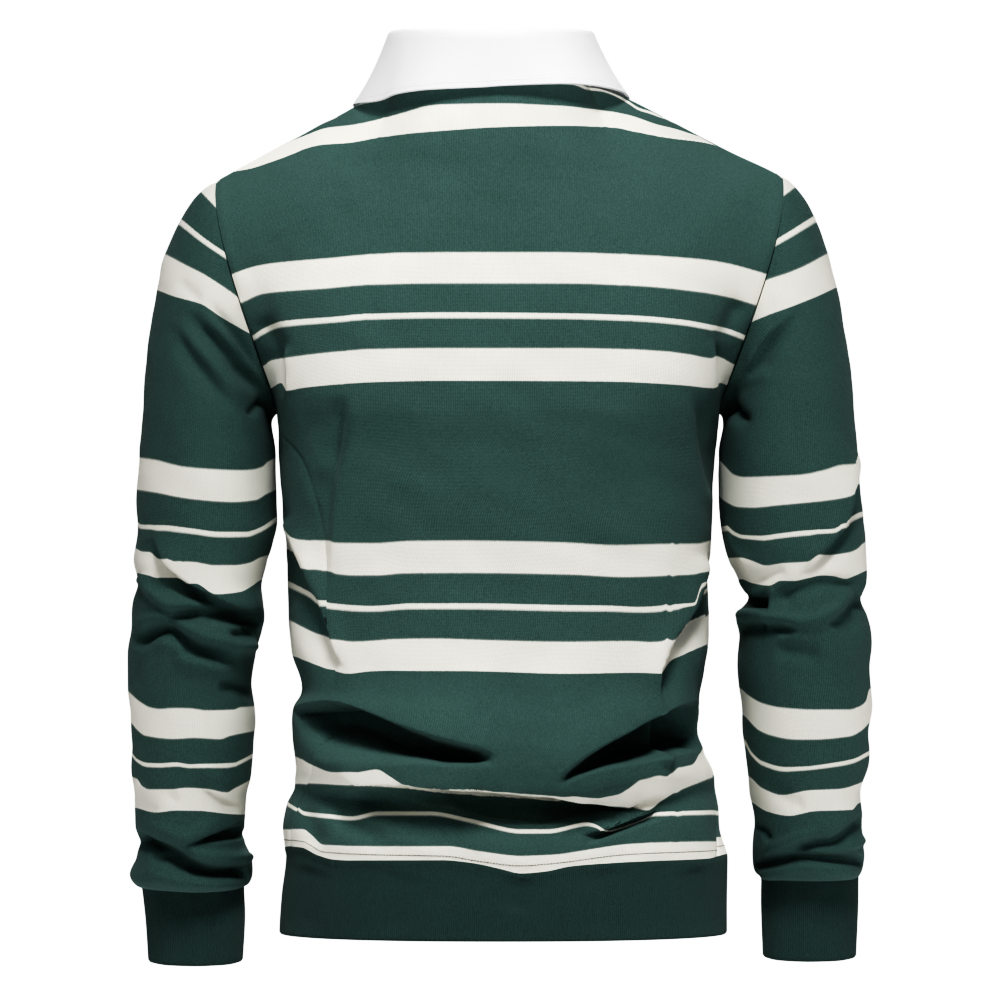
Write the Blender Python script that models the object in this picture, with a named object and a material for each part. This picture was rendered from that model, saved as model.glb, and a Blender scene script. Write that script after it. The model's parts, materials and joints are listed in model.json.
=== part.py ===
"""A long-sleeved rugby polo shirt, hollow, standing as it does when worn.

Every cloth piece is a thin wall.  Its outer face is a grid of points worked out
from body sections, arm sections and a few large folds, and the wall goes inwards
from there.  Pieces that are sewn together share their seam points, and each one
stops a hair short of the seam.

The frame: +Z up, the wearer faces -Y, the wearer's left is +X.  The origin is the
middle of the neck opening, level with the points where the shoulder seams meet the
collar.  All the sizes in the tables are millimetres.
"""

import math
from collections import namedtuple

import bmesh
import bpy
from mathutils import Vector

MM = 0.001
COLLECTION_NAME = "rugby_polo_shirt"

# ---------------------------------------------------------------- driving sizes
JERSEY_WALL = 1.6          # heavy cotton jersey, brushed inside
TWILL_WALL = 1.8           # two layers of collar twill
RIB_WALL = 2.4             # rib knit, folded double
SEAM_GAP = 0.3             # between two sewn pieces, outer face to outer face

SHOULDER_TIP_LEFT = (228.0, -8.0, -75.0)
SHOULDER_TIP_RIGHT = (-227.0, -8.0, -71.0)

NECK_CENTRE = 7.0          # the collar sits a little to the wearer's left
NECK_HALF_WIDTH = 78.0
NECK_SHARE = 0.36          # share of a panel's half width that ends at the neck
NECK_SEAM_Y = -4.0         # the shoulder seam lies just in front of the ridge
NECK_BACK_DEPTH = 62.0
NECK_BACK_RISE = 6.0
NECK_FRONT_DEPTH = 66.0
NECK_FRONT_DROP = 60.0

STAND_END_GAP = 1.2        # half the gap between the stand's ends at the front
FOLD_RISE = 4.5            # the leaf stands this much above the stand

PLACKET_HALF_WIDTH = 17.0
PLACKET_LENGTH = 150.0
PLACKET_TOP_GAP = 3.0      # the placket starts this far below the collar stand
SLIT_SHARE = 0.032         # share of the half panel that is cut away behind the placket
BUTTON_RADIUS = 5.6
BUTTON_THICKNESS = 2.6
BUTTON_DROPS = (18.0, 66.0, 114.0)   # down the placket from its top

# ---------------------------------------------------------------- mesh density
PANEL_COLUMNS_NECK = 3     # each side of the slit, across the neck
PANEL_COLUMNS_SHOULDER = 8
YOKE_ROWS = 11
SLEEVE_CAP_ROWS = 8
COLLAR_COLUMNS = 28

# ---------------------------------------------------------------- body sections
# Rings round the body from the hem seam up to the armholes.  z_*: height of the ring
# at the centre back, the sides and the centre front.  left, right: half widths.
# back, front: depth from the side line.  full: 2 is an ellipse, more is squarer.
# seam_*: where the side seams run, in degrees round from the centre back.
# rows: how many rows of the mesh lead up to the next section.
Body = namedtuple("Body", "z_back z_left z_front z_right left right back front full"
                          " seam_left seam_right rows")
BODY_SECTIONS = [
    Body(-622, -607, -618, -612, 172.0, 179.0, 108, 104, 2.3, 72, 76, 1),
    Body(-604, -590, -600, -593, 173.0, 181.0, 110, 106, 2.3, 71, 77, 1),
    Body(-585, -574, -583, -577, 170.0, 176.0, 106, 103, 2.3, 69, 79, 1),
    Body(-569, -562, -567, -562, 165.0, 172.0, 97, 96, 2.3, 67, 80, 1),
    Body(-561, -552, -560, -550, 164.0, 171.0, 112, 108, 2.3, 65, 81, 1),
    Body(-556, -545, -555, -541, 163.0, 168.0, 124, 118, 2.3, 63, 81, 1),
    Body(-545, -536, -546, -531, 164.0, 163.0, 128, 121, 2.35, 61, 82, 1),
    Body(-525, -519, -526, -514, 166.0, 160.0, 129, 122, 2.35, 58, 82, 2),
    Body(-497, -497, -499, -500, 165.5, 160.0, 127, 121, 2.35, 55, 82, 1),
    Body(-478, -480, -480, -484, 158.0, 160.0, 125, 120, 2.35, 53, 82, 2),
    Body(-447, -449, -448, -450, 167.0, 166.0, 122, 118, 2.35, 50, 82, 3),
    Body(-392, -394, -392, -394, 170.0, 167.0, 119, 116, 2.4, 50, 84, 3),
    Body(-339, -340, -339, -340, 174.0, 170.0, 120, 116, 2.45, 52, 86, 2),
    Body(-300, -300, -300, -300, 175.5, 171.5, 122, 118, 2.6, 56, 89, 1),
    Body(-281, -281, -281, -281, 176.5, 173.0, 123, 119, 2.75, 66, 91, 1),
    Body(-262, -262, -262, -262, 178.0, 175.0, 125, 120, 3.0, 92, 92, 0),
]

# How a panel leaves the armpit ring: the depth of its first handles at the centre line
# and at the armhole, and how far they rise.
Yoke = namedtuple("Yoke", "centre_depth edge_depth rise edge_rise roundness")
YOKE_BACK = Yoke(130.0, 70.0, 75.0, 18.0, 2.2)
YOKE_FRONT = Yoke(124.0, 62.0, 72.0, 18.0, 2.2)
# The line of second handles, below the top edge: share across the half panel, then
# x from the centre line, depth and height.
Blade = namedtuple("Blade", "share x deep z")
BLADE_BACK = [
    Blade(0.00, 0, 93, -44),
    Blade(0.18, 52, 91, -44),
    Blade(0.36, 95, 84, -44),
    Blade(0.60, 150, 72, -57),
    Blade(0.80, 194, 67, -84),
    Blade(1.00, 231, 66, -122),
]
BLADE_FRONT = [
    Blade(0.00, 0, 104, -118),
    Blade(0.18, 46, 98, -100),
    Blade(0.36, 90, 84, -74),
    Blade(0.60, 150, 66, -66),
    Blade(0.80, 194, 58, -88),
    Blade(1.00, 230, 57, -124),
]

# ---------------------------------------------------------------- large body folds
# Troughs in the blouse above the hem band.  side: +1 back, -1 front.  Each runs from
# (x0, z0) past (x1, z1) to (x2, z2); above and below are its half widths.
Trough = namedtuple("Trough", "side x0 z0 x1 z1 x2 z2 depth above below")
BODY_TROUGHS = [
    Trough(+1, 166, -506, 95, -500, 4, -537, 21, 15, 24),
    Trough(+1, -48, -553, -95, -535, -152, -500, 18, 18, 20),
    Trough(+1, 120, -575, 80, -580, 40, -584, 5, 10, 12),
    Trough(+1, -66, -594, -90, -592, -128, -580, 6, 9, 11),
    Trough(-1, 154, -500, 90, -512, 20, -540, 17, 16, 22),
    Trough(-1, -40, -548, -100, -520, -158, -498, 19, 16, 22),
]

# ---------------------------------------------------------------- arm sections
# Rings across the sleeve.  out, near: the two sides seen from behind, away from and
# next to the body.  middle: y of the ring's centre.  depth: half the depth.
# tilt: degrees that the ring leans as the forearm comes forward.
Arm = namedtuple("Arm", "z out near middle depth tilt")
ARM_LEFT = [
    Arm(-298, 288, 180.0, -2, 68, 0),
    Arm(-330, 291, 178.8, -2, 68, 0),
    Arm(-354, 290, 179, -1, 67, 0),
    Arm(-378, 293, 186, 0, 65, 0),
    Arm(-396, 289, 191, 1, 62, 1),
    Arm(-411, 293, 190, 1, 63, 1),
    Arm(-428, 294, 189, 0, 62, 2),
    Arm(-452, 298, 195, -3, 61, 3),
    Arm(-476, 298, 198, -6, 59, 4),
    Arm(-500, 296, 196, -10, 57, 4),
    Arm(-524, 295, 198, -14, 55, 5),
    Arm(-548, 296, 200, -18, 53, 5),
    Arm(-567, 294, 203, -22, 50, 6),
    Arm(-588, 293, 205, -26, 48, 6),
    Arm(-606, 291, 205, -29, 46, 6),
    Arm(-618, 292, 201, -31, 46, 6),
    Arm(-630, 297, 200, -33, 46, 6),
    Arm(-637, 294, 202, -34, 41, 6),
    Arm(-640, 289, 206, -34, 31, 6),
]
ARM_RIGHT = [
    Arm(-298, 286, 175.5, -2, 68, 0),
    Arm(-330, 290, 174.6, -2, 68, 0),
    Arm(-354, 292, 177, -1, 67, 0),
    Arm(-378, 293, 183, 0, 65, 0),
    Arm(-396, 293, 191, 1, 62, 1),
    Arm(-409, 289, 198, 1, 60, 1),
    Arm(-423, 294, 189.5, 0, 62, 2),
    Arm(-440, 297, 192, -2, 62, 3),
    Arm(-464, 296, 190, -5, 60, 4),
    Arm(-490, 298, 193, -9, 58, 4),
    Arm(-514, 296, 194, -13, 56, 5),
    Arm(-540, 296, 198, -17, 53, 5),
    Arm(-563, 290, 201, -22, 49, 6),
    Arm(-584, 291, 205, -26, 48, 6),
    Arm(-602, 292, 203, -29, 46, 6),
    Arm(-618, 294, 203.5, -32, 45, 6),
    Arm(-628, 292, 205, -33, 41, 6),
    Arm(-632, 289, 210, -34, 31, 6),
]
ARM_FULL = 2.2             # how square the arm rings are
# The sleeve leaves the armhole along the first handle (out, deep, down) and drops into
# the first ring from the second one, which is lift above it and leans in towards the body.
Cap = namedtuple("Cap", "out deep down lift lean")
CAP_UNDER = Cap(9.0, 0.0, 2.0, 16.0, 0.0)
CAP_SIDE = Cap(26.0, 16.0, 6.0, 70.0, 0.0)
CAP_TOP_LEFT = Cap(40.0, 0.0, 23.0, 130.0, 5.0)
CAP_TOP_RIGHT = Cap(31.0, 0.0, 19.0, 130.0, 7.0)

# Troughs round the sleeves: at = height at the near side, rise = how much higher the
# trough is at the outer side, turn = degrees round from the near side through the back.
Crease = namedtuple("Crease", "at rise middle_turn spread depth half_height")
CREASES_LEFT = [
    Crease(-424, 34, 80, 75, 9, 12),
    Crease(-470, -20, 100, 60, 3.5, 13),
    Crease(-604, 14, 90, 85, 4.5, 9),
    Crease(-420, 20, 265, 70, 7, 14),
    Crease(-560, -12, 270, 60, 4, 13),
]
CREASES_RIGHT = [
    Crease(-410, 46, 75, 80, 9, 12),
    Crease(-448, -16, 70, 60, 4, 12),
    Crease(-608, 4, 95, 85, 5, 9),
    Crease(-424, 22, 265, 70, 7, 14),
    Crease(-556, -10, 270, 60, 4, 13),
]

# ---------------------------------------------------------------- cuffs
Cuff = namedtuple("Cuff", "z out near middle depth tilt")
CUFF_LEFT = [
    Cuff(-640, 289, 206, -34, 31, 6),
    Cuff(-645, 287.5, 206.5, -34.5, 30, 6),
    Cuff(-668, 285, 206, -36.5, 29, 6),
    Cuff(-701, 283, 208, -39.5, 28, 6),
]
CUFF_RIGHT = [
    Cuff(-632, 289, 210, -34, 31, 6),
    Cuff(-637, 288.3, 210.8, -34.5, 30, 6),
    Cuff(-660, 288, 211, -36.5, 29, 6),
    Cuff(-697.5, 286.5, 212.5, -39.5, 28, 6),
]

# ---------------------------------------------------------------- hem band
Band = namedtuple("Band", "share left right back front")
BAND_SECTIONS = [
    Band(0.00, 172.0, 179.0, 108, 104),
    Band(0.12, 170.5, 181.0, 107, 103),
    Band(0.55, 174.0, 181.0, 107, 103),
    Band(1.00, 176.0, 181.0, 106, 102),
]
BAND_EDGE_HEIGHT = -676.0

# ---------------------------------------------------------------- collar leaf
# Its outer edge from the centre back round to the point in front.
# turn: degrees round the neck from the centre back; x is counted from NECK_CENTRE.
Edge = namedtuple("Edge", "turn x y z")
LEAF_EDGE = [
    Edge(0, 0, 82, -3),
    Edge(35, 60, 74, -3),
    Edge(65, 96, 46, -6),
    Edge(90, 111, 6, -11),
    Edge(118, 109, -38, -17),
    Edge(150, 94, -82, -46),
    Edge(180, 62, -114, -108),
]
# Height of the fold, at the top of the stand, and how far it leans in from the neckline.
Fold = namedtuple("Fold", "turn z lean")
FOLD_HEIGHTS = [
    Fold(0, 36.0, 3.0),
    Fold(40, 38.0, 2.5),
    Fold(72, 41.0, 2.0),
    Fold(92, 37.0, 1.5),
    Fold(120, 17.0, 1.0),
    Fold(150, -14.0, 1.0),
    Fold(180, -38.0, 0.5),
]
# Across the leaf, from the stand's top over the fold: out and up from the fold line.
FOLD_PROFILE = [(-1.8, 0.3), (-1.5, 3.0), (1.2, FOLD_RISE), (4.2, 3.4), (6.2, -1.0)]
LEAF_ROWS = 4

COLOURS = {                # linear RGB
    "jersey": (0.022, 0.075, 0.064, 1.0),
    "rib": (0.016, 0.052, 0.045, 1.0),
    "twill": (0.86, 0.86, 0.87, 1.0),
    "button": (0.80, 0.80, 0.78, 1.0),
}

Patch = namedtuple("Patch", "name rows closed wall finish flip skip")


# ================================================================ small helpers
def mix(a, b, share):
    """Return the value that lies between a and b."""
    return a + (b - a) * share


def ease(share):
    """Return a share that starts and ends level."""
    share = min(1.0, max(0.0, share))
    return share * share * (3.0 - 2.0 * share)


def rounded(turn, full):
    """Return the two coordinates of a superellipse at an angle from its second axis."""
    across, deep = math.sin(turn), math.cos(turn)
    reach = (abs(across) ** full + abs(deep) ** full) ** (-1.0 / full)
    return across * reach, deep * reach


def through(before, start, end, after, share):
    """Return a Catmull-Rom value between start and end."""
    slope_a = (end - before) / 2.0
    slope_b = (after - start) / 2.0
    s2, s3 = share * share, share ** 3
    return ((2 * s3 - 3 * s2 + 1) * start + (s3 - 2 * s2 + share) * slope_a
            + (3 * s2 - 2 * s3) * end + (s3 - s2) * slope_b)


def section_between(table, place):
    """Return a section of the table at a fractional row, as the same named tuple."""
    last = len(table) - 1
    place = min(max(place, 0.0), float(last))
    low = min(int(place), last - 1)
    share = place - low
    picks = [table[max(low - 1, 0)], table[low], table[low + 1], table[min(low + 2, last)]]
    return type(table[0])(*(through(a, b, c, d, share) for a, b, c, d in zip(*picks)))


def table_at(table, value):
    """Return a row of the table at a value of its first column."""
    if value <= table[0][0]:
        return table[0]
    for index in range(len(table) - 1):
        if value <= table[index + 1][0]:
            share = (value - table[index][0]) / (table[index + 1][0] - table[index][0])
            return section_between(table, index + share)
    return table[-1]


def bezier(p0, p1, p2, p3, t):
    """Return a point of a cubic Bezier curve."""
    k = 1.0 - t
    return p0 * k ** 3 + p1 * (3 * k * k * t) + p2 * (3 * k * t * t) + p3 * t ** 3


# ================================================================ the body's form
def panel_shares():
    """Return the shares across a panel, from the right edge (-1) to the left (+1)."""
    half = [0.0]
    half += [mix(SLIT_SHARE, NECK_SHARE, i / PANEL_COLUMNS_NECK) for i in range(PANEL_COLUMNS_NECK + 1)]
    half += [mix(NECK_SHARE, 1.0, (i + 1) / PANEL_COLUMNS_SHOULDER)
             for i in range(PANEL_COLUMNS_SHOULDER)]
    return [-s for s in reversed(half[1:])] + half


def body_places():
    """Return the rows of the mesh below the armholes, as places in BODY_SECTIONS."""
    places = []
    for index, section in enumerate(BODY_SECTIONS):
        count = max(section.rows, 1)
        places += [index + step / count for step in range(count)]
    return places


def trough_depth(side, x, z):
    """Return how far the large folds pull the cloth in at a point of the body."""
    total = 0.0
    for fold in BODY_TROUGHS:
        if fold.side != side:
            continue
        best = None
        for step in range(17):
            t = step / 16.0
            a, b, c = (1 - t) ** 2, 2 * t * (1 - t), t * t
            px = a * fold.x0 + b * (2 * fold.x1 - (fold.x0 + fold.x2) / 2) + c * fold.x2
            pz = a * fold.z0 + b * (2 * fold.z1 - (fold.z0 + fold.z2) / 2) + c * fold.z2
            reach = fold.above if z > pz else fold.below
            distance = math.hypot((x - px) * 0.8, z - pz) / reach
            if best is None or distance < best[0]:
                best = (distance, math.sin(math.pi * min(max(t, 0.06), 0.94)) ** 0.6)
        if best[0] < 1.6:
            total += fold.depth * best[1] * math.exp(-1.8 * best[0] ** 2)
    return total


def body_point(place, angle):
    """Return a point of the body below the armholes; angle runs from the centre back."""
    row = section_between(BODY_SECTIONS, place)
    turn = math.radians(angle)
    across, deep = rounded(turn, row.full)
    x = across * (row.left if across > 0 else row.right)
    y = deep * (row.back if deep > 0 else row.front)
    lift_x = (row.z_left - row.z_right) / 2.0
    lift_y = (row.z_back - row.z_front) / 2.0
    sides = (row.z_left + row.z_right) / 2.0
    ends = (row.z_back + row.z_front) / 2.0
    z = mix(ends, sides, math.sin(turn) ** 2)
    z += lift_x * math.sin(turn) + lift_y * math.cos(turn)
    inward = Vector((-across, -deep, 0)).normalized()
    depth = trough_depth(1 if deep > 0 else -1, x, z)
    return Vector((x, y, z)) + inward * depth


def seam_angle(side, share, row):
    """Return the angle round the body at a share across the back or front panel."""
    seam = row.seam_left if share > 0 else row.seam_right
    if side > 0:
        return share * seam
    return 180.0 - share * (180.0 - seam)


def top_edge(side, share):
    """Return a point of a panel's top edge: neckline, then shoulder seam."""
    sign = 1.0 if share >= 0 else -1.0
    reach = abs(share)
    if reach <= NECK_SHARE:
        return neck_point(side, share / NECK_SHARE * 90.0)
    start = neck_point(side, sign * 90.0)
    tip = Vector(SHOULDER_TIP_LEFT if sign > 0 else SHOULDER_TIP_RIGHT)
    q = (reach - NECK_SHARE) / (1.0 - NECK_SHARE)
    x = mix(start.x, tip.x, q)
    y = mix(start.y, tip.y, q)
    z = mix(start.z, tip.z, q ** 1.06)
    return Vector((x, y, z))


def neck_point(side, angle):
    """Return a point of the neckline; angle runs from the centre back or front."""
    turn = math.radians(angle)
    x = NECK_CENTRE + NECK_HALF_WIDTH * math.sin(turn)
    if side > 0:
        y = NECK_SEAM_Y + NECK_BACK_DEPTH * math.cos(turn) ** 0.9
        return Vector((x, y, NECK_BACK_RISE * math.cos(turn)))
    y = NECK_SEAM_Y - NECK_FRONT_DEPTH * math.cos(turn) ** 0.9
    return Vector((x, y, -NECK_FRONT_DROP * math.cos(turn) ** 1.5))


def yoke_point(side, share, t):
    """Return a point of a panel above the armpit; t runs up to the top edge."""
    yoke, blades = (YOKE_BACK, BLADE_BACK) if side > 0 else (YOKE_FRONT, BLADE_FRONT)
    reach = abs(share)
    sign = 1.0 if share >= 0 else -1.0
    place = len(BODY_SECTIONS) - 1
    start = body_point(place, seam_angle(side, share, BODY_SECTIONS[-1]))
    end = top_edge(side, share)
    depth = mix(yoke.edge_depth, yoke.centre_depth, 1.0 - reach ** yoke.roundness)
    rise = mix(yoke.rise, yoke.edge_rise, reach ** 4)
    first = Vector((start.x, side * depth, start.z + rise))
    blade = table_at(blades, reach)
    middle = NECK_CENTRE * (1.0 - reach)
    second = Vector((middle + sign * blade.x, side * blade.deep, blade.z))
    return bezier(start, first, second, end, t)


def panel_grid(side):
    """Return a panel's rows of points, from the hem seam to the top edge."""
    shares = panel_shares()
    if side < 0:
        shares = shares[::-1]
    rows = []
    for place in body_places():
        section = section_between(BODY_SECTIONS, place)
        rows.append([body_point(place, seam_angle(side, s, section)) for s in shares])
    for step in range(1, YOKE_ROWS + 1):
        rows.append([yoke_point(side, s, step / YOKE_ROWS) for s in shares])
    return rows


# ================================================================ sleeves and cuffs
def arm_ring(row, sign, turn):
    """Return a point of an arm ring; turn runs from the near side through the back."""
    middle = (row.out + row.near) / 2.0
    half = (row.out - row.near) / 2.0
    deep, near = rounded(turn, ARM_FULL)
    y = deep * row.depth
    lean = math.tan(math.radians(row.tilt))
    return Vector((sign * (middle - half * near), row.middle + y, row.z - y * lean))


def armhole_turns():
    """Return the angles of the sleeve's lengthwise lines, one for each yoke row."""
    back = [math.pi * step / YOKE_ROWS for step in range(YOKE_ROWS + 1)]
    return back + [2.0 * math.pi - turn for turn in reversed(back[1:-1])]


def armhole_loop(sign):
    """Return the points of an armhole, from the armpit up the back and down the front."""
    back = [yoke_point(+1, sign, step / YOKE_ROWS) for step in range(YOKE_ROWS + 1)]
    front = [yoke_point(-1, sign, step / YOKE_ROWS) for step in range(YOKE_ROWS + 1)]
    return back + front[-2:0:-1]


def crease_pull(creases, z, turn):
    """Return how far the creases pull the sleeve in at a height and a turn."""
    total = 0.0
    for crease in creases:
        off = math.degrees(turn) - crease.middle_turn
        off = (off + 180.0) % 360.0 - 180.0
        around = abs(off) / crease.spread
        if around >= 1.0:
            continue
        height = crease.at + crease.rise * (1.0 - math.cos(turn)) / 2.0
        up = (z - height) / crease.half_height
        total += crease.depth * (1.0 - ease(around)) * math.exp(-1.6 * up * up)
    return total


def sleeve_grid(sign, table, creases):
    """Return a sleeve's rings of points, from the armhole down to the cuff seam."""
    turns = armhole_turns()
    loop = armhole_loop(sign)
    cap_top = CAP_TOP_LEFT if sign > 0 else CAP_TOP_RIGHT
    first = [arm_ring(table[0], sign, turn) for turn in turns]
    rows = []
    for step in range(SLEEVE_CAP_ROWS):
        t = step / SLEEVE_CAP_ROWS
        ring = []
        for start, end, turn in zip(loop, first, turns):
            top = ease((1.0 - math.cos(turn)) / 2.0)
            side = math.sin(turn)
            under = Cap(*(mix(a, b, abs(side)) for a, b in zip(CAP_UNDER, CAP_SIDE)))
            over = Cap(*(mix(a, b, abs(side)) for a, b in zip(cap_top, CAP_SIDE)))
            cap = Cap(*(mix(a, b, top) for a, b in zip(under, over)))
            deep = math.copysign(cap.deep * abs(side), side)
            leave = start + Vector((sign * cap.out, deep, -cap.down))
            enter = end + Vector((-sign * cap.lean, 0, cap.lift))
            ring.append(bezier(start, leave, enter, end, t))
        rows.append(ring)
    for row in table:
        ring = []
        for turn in turns:
            point = arm_ring(row, sign, turn)
            centre = Vector((sign * (row.out + row.near) / 2.0, row.middle, point.z))
            pull = crease_pull(creases, point.z, turn)
            ring.append(point + (centre - point).normalized() * pull)
        rows.append(ring)
    return rows


def cuff_grid(sign, table):
    """Return a cuff's rings of points, from its seam down to its edge."""
    return [[arm_ring(row, sign, turn) for turn in armhole_turns()] for row in table]


# ================================================================ hem band
def hem_grid():
    """Return the hem band's rings, round from the right seam past back, left, front."""
    seam = body_places()[0]
    bottom = BODY_SECTIONS[0]
    shares = panel_shares()
    angles = [seam_angle(+1, s, bottom) for s in shares]
    angles += [seam_angle(-1, s, bottom) for s in reversed(shares[1:-1])]
    rows = []
    for band in BAND_SECTIONS:
        ring = []
        for angle in angles:
            top = body_point(seam, angle)
            turn = math.radians(angle)
            across, deep = rounded(turn, bottom.full)
            x = across * (band.left if across > 0 else band.right)
            y = deep * (band.back if deep > 0 else band.front)
            ring.append(Vector((x, y, mix(top.z, BAND_EDGE_HEIGHT, band.share))))
        rows.append(ring)
    return rows


# ================================================================ collar
def collar_turns():
    """Return the angles round the neck, from the left front end to the right one."""
    return [mix(180.0, -180.0, step / COLLAR_COLUMNS) for step in range(COLLAR_COLUMNS + 1)]


def neck_ring(turn):
    """Return a neckline point; turn is degrees from the centre back, left positive."""
    if abs(turn) <= 90.0:
        point = neck_point(+1, turn)
    else:
        point = neck_point(-1, math.copysign(180.0 - abs(turn), turn))
    if abs(turn) >= 179.9:
        point.x += math.copysign(STAND_END_GAP, turn)
    return point


def outward_at_neck(turn):
    """Return the level direction away from the neck's middle."""
    angle = math.radians(turn)
    return Vector((math.sin(angle) * NECK_BACK_DEPTH, math.cos(angle) * NECK_HALF_WIDTH, 0)).normalized()


def fold_line(turn):
    """Return a point of the fold, at the top of the stand."""
    fold = table_at(FOLD_HEIGHTS, abs(turn))
    point = neck_ring(turn) - outward_at_neck(turn) * fold.lean
    return Vector((point.x, point.y, fold.z))


def stand_grid():
    """Return the collar stand's rows, from the neckline up to the fold."""
    rows = []
    for share in (0.0, 0.5, 1.0):
        rows.append([(neck_ring(turn) + Vector((0, 0, SEAM_GAP))).lerp(fold_line(turn), share)
                     for turn in collar_turns()])
    return rows


def leaf_edge(turn):
    """Return a point of the collar leaf's outer edge."""
    edge = table_at(LEAF_EDGE, abs(turn))
    return Vector((NECK_CENTRE + math.copysign(edge.x, turn), edge.y, edge.z))


def leaf_grid():
    """Return the collar leaf's rows, from inside the neck over the fold to the edge."""
    rows = []
    for out, up in FOLD_PROFILE:
        rows.append([fold_line(turn) + outward_at_neck(turn) * out + Vector((0, 0, up))
                     for turn in collar_turns()])
    last_out, last_up = FOLD_PROFILE[-1]
    for step in range(1, LEAF_ROWS + 1):
        share = step / LEAF_ROWS
        row = []
        for turn in collar_turns():
            outward = outward_at_neck(turn)
            start = fold_line(turn) + outward * last_out + Vector((0, 0, last_up))
            belly = outward * (3.0 * math.sin(math.pi * share))
            row.append(start.lerp(leaf_edge(turn), share) + belly)
        rows.append(row)
    return rows


# ================================================================ placket and buttons
def row_point(row, x):
    """Return the point of a front panel row at an x, on the straight line between columns."""
    for left, right in zip(row, row[1:]):
        if right.x <= x <= left.x:
            return left.lerp(right, (x - left.x) / (right.x - left.x))
    return row[-1].copy()


def placket_rows():
    """Return the front panel's rows behind the placket, bottom to top."""
    neckline = neck_point(-1, 0.0).z
    middle = len(panel_shares()) // 2
    return [row for row in panel_grid(-1) if neckline - row[middle].z <= PLACKET_LENGTH]


def placket_frame(rows, index):
    """Return a placket row's centre point and the direction away from the chest."""
    middle = len(panel_shares()) // 2
    above = rows[min(index + 1, len(rows) - 1)][middle]
    below = rows[max(index - 1, 0)][middle]
    along = above - below
    return rows[index][middle], Vector((0.0, -along.z, along.y)).normalized()


def placket_grid(lift):
    """Return a placket strip's rows, bottom to top, lifted off the panel's outer face."""
    rows = placket_rows()
    middle = len(panel_shares()) // 2
    strip = []
    for index, row in enumerate(rows):
        centre, normal = placket_frame(rows, index)
        columns = [row_point(row, centre.x + PLACKET_HALF_WIDTH), row[middle - 1], centre,
                   row[middle + 1], row_point(row, centre.x - PLACKET_HALF_WIDTH)]
        strip.append([point + normal * lift for point in columns])
    top = [point + (below - point).normalized() * PLACKET_TOP_GAP
           for point, below in zip(strip[-1], strip[-2])]
    return strip[:-1] + [top]


def button_place(drop):
    """Return a button's centre on the panel and the direction it faces."""
    rows = placket_rows()
    neckline = neck_point(-1, 0.0).z
    for index in range(len(rows) - 1):
        low, normal = placket_frame(rows, index)
        high, _ = placket_frame(rows, index + 1)
        if low.z <= neckline - drop <= high.z:
            return low.lerp(high, (neckline - drop - low.z) / (high.z - low.z)), normal
    return placket_frame(rows, 0)


def button_mesh(drop, lift):
    """Return a button on the placket: a disc with its rims taken off, facing out."""
    mesh = bmesh.new()
    bmesh.ops.create_cone(mesh, cap_ends=True, segments=14, radius1=BUTTON_RADIUS,
                          radius2=BUTTON_RADIUS, depth=BUTTON_THICKNESS)
    rim = [edge for edge in mesh.edges if abs(edge.verts[0].co.z - edge.verts[1].co.z) < 0.01]
    bmesh.ops.bevel(mesh, geom=rim, offset=0.6, segments=1, affect="EDGES")
    place, normal = button_place(drop)
    turn = Vector((0, 0, 1)).rotation_difference(normal).to_matrix()
    centre = place + normal * (lift + BUTTON_THICKNESS / 2.0)
    for vertex in mesh.verts:
        vertex.co = (turn @ vertex.co + centre) * MM
    return mesh


# ================================================================ walls
def face_loops(patch):
    """Return the patch's cells as index tuples, ordered so that they face outwards."""
    count = len(patch.rows[0])
    cells = []
    for r in range(len(patch.rows) - 1):
        for c in range(count if patch.closed else count - 1):
            if (r, c) in patch.skip:
                continue
            d = (c + 1) % count
            cell = (r * count + c, (r + 1) * count + c, (r + 1) * count + d, r * count + d)
            cells.append(cell[::-1] if patch.flip else cell)
    return cells


def key_of(point):
    """Return a key that is the same for two pieces' points on a shared seam."""
    return tuple(round(value, 3) for value in point)


def patch_normals(patch):
    """Return the outward direction at each point of one patch."""
    points = [point for row in patch.rows for point in row]
    sums = {}
    for cell in face_loops(patch):
        a, b, c, d = (points[i] for i in cell)
        normal = (c - a).cross(d - b)
        for point in (a, b, c, d):
            sums[key_of(point)] = sums.get(key_of(point), Vector()) + normal
    return {key: normal.normalized() for key, normal in sums.items()}


def pooled_normals(patches):
    """Return the outward direction at every point, halfway between the pieces at a seam."""
    pool = {}
    for patch in patches:
        for key, normal in patch_normals(patch).items():
            pool[key] = pool.get(key, Vector()) + normal
    return {key: normal.normalized() for key, normal in pool.items()}


def pulled_back(rows, r, c, closed):
    """Return a point of the grid, drawn back from the seams it lies on."""
    point = rows[r][c]
    count = len(rows[0])
    shift = Vector()
    neighbours = []
    if r == 0 or r == len(rows) - 1:
        inner = rows[1][c] if r == 0 else rows[-2][c]
        side = rows[r][(c + 1) % count] if closed or c + 1 < count else rows[r][c - 1]
        neighbours.append((inner, side))
    if not closed and c in (0, count - 1):
        inner = rows[r][1] if c == 0 else rows[r][-2]
        side = rows[r + 1][c] if r + 1 < len(rows) else rows[r - 1][c]
        neighbours.append((inner, side))
    for inner, side in neighbours:
        along = (side - point).normalized()
        inward = inner - point
        inward -= along * inward.dot(along)
        shift += inward.normalized() * (SEAM_GAP / 2.0)
    return point + shift


def split_cells(cells, verts):
    """Return each cell as two triangles, cut along its shorter diagonal."""
    triangles = []
    for a, b, c, d in cells:
        if (verts[a].co - verts[c].co).length <= (verts[b].co - verts[d].co).length:
            triangles += [(a, b, c), (a, c, d)]
        else:
            triangles += [(a, b, d), (b, c, d)]
    return triangles


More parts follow.
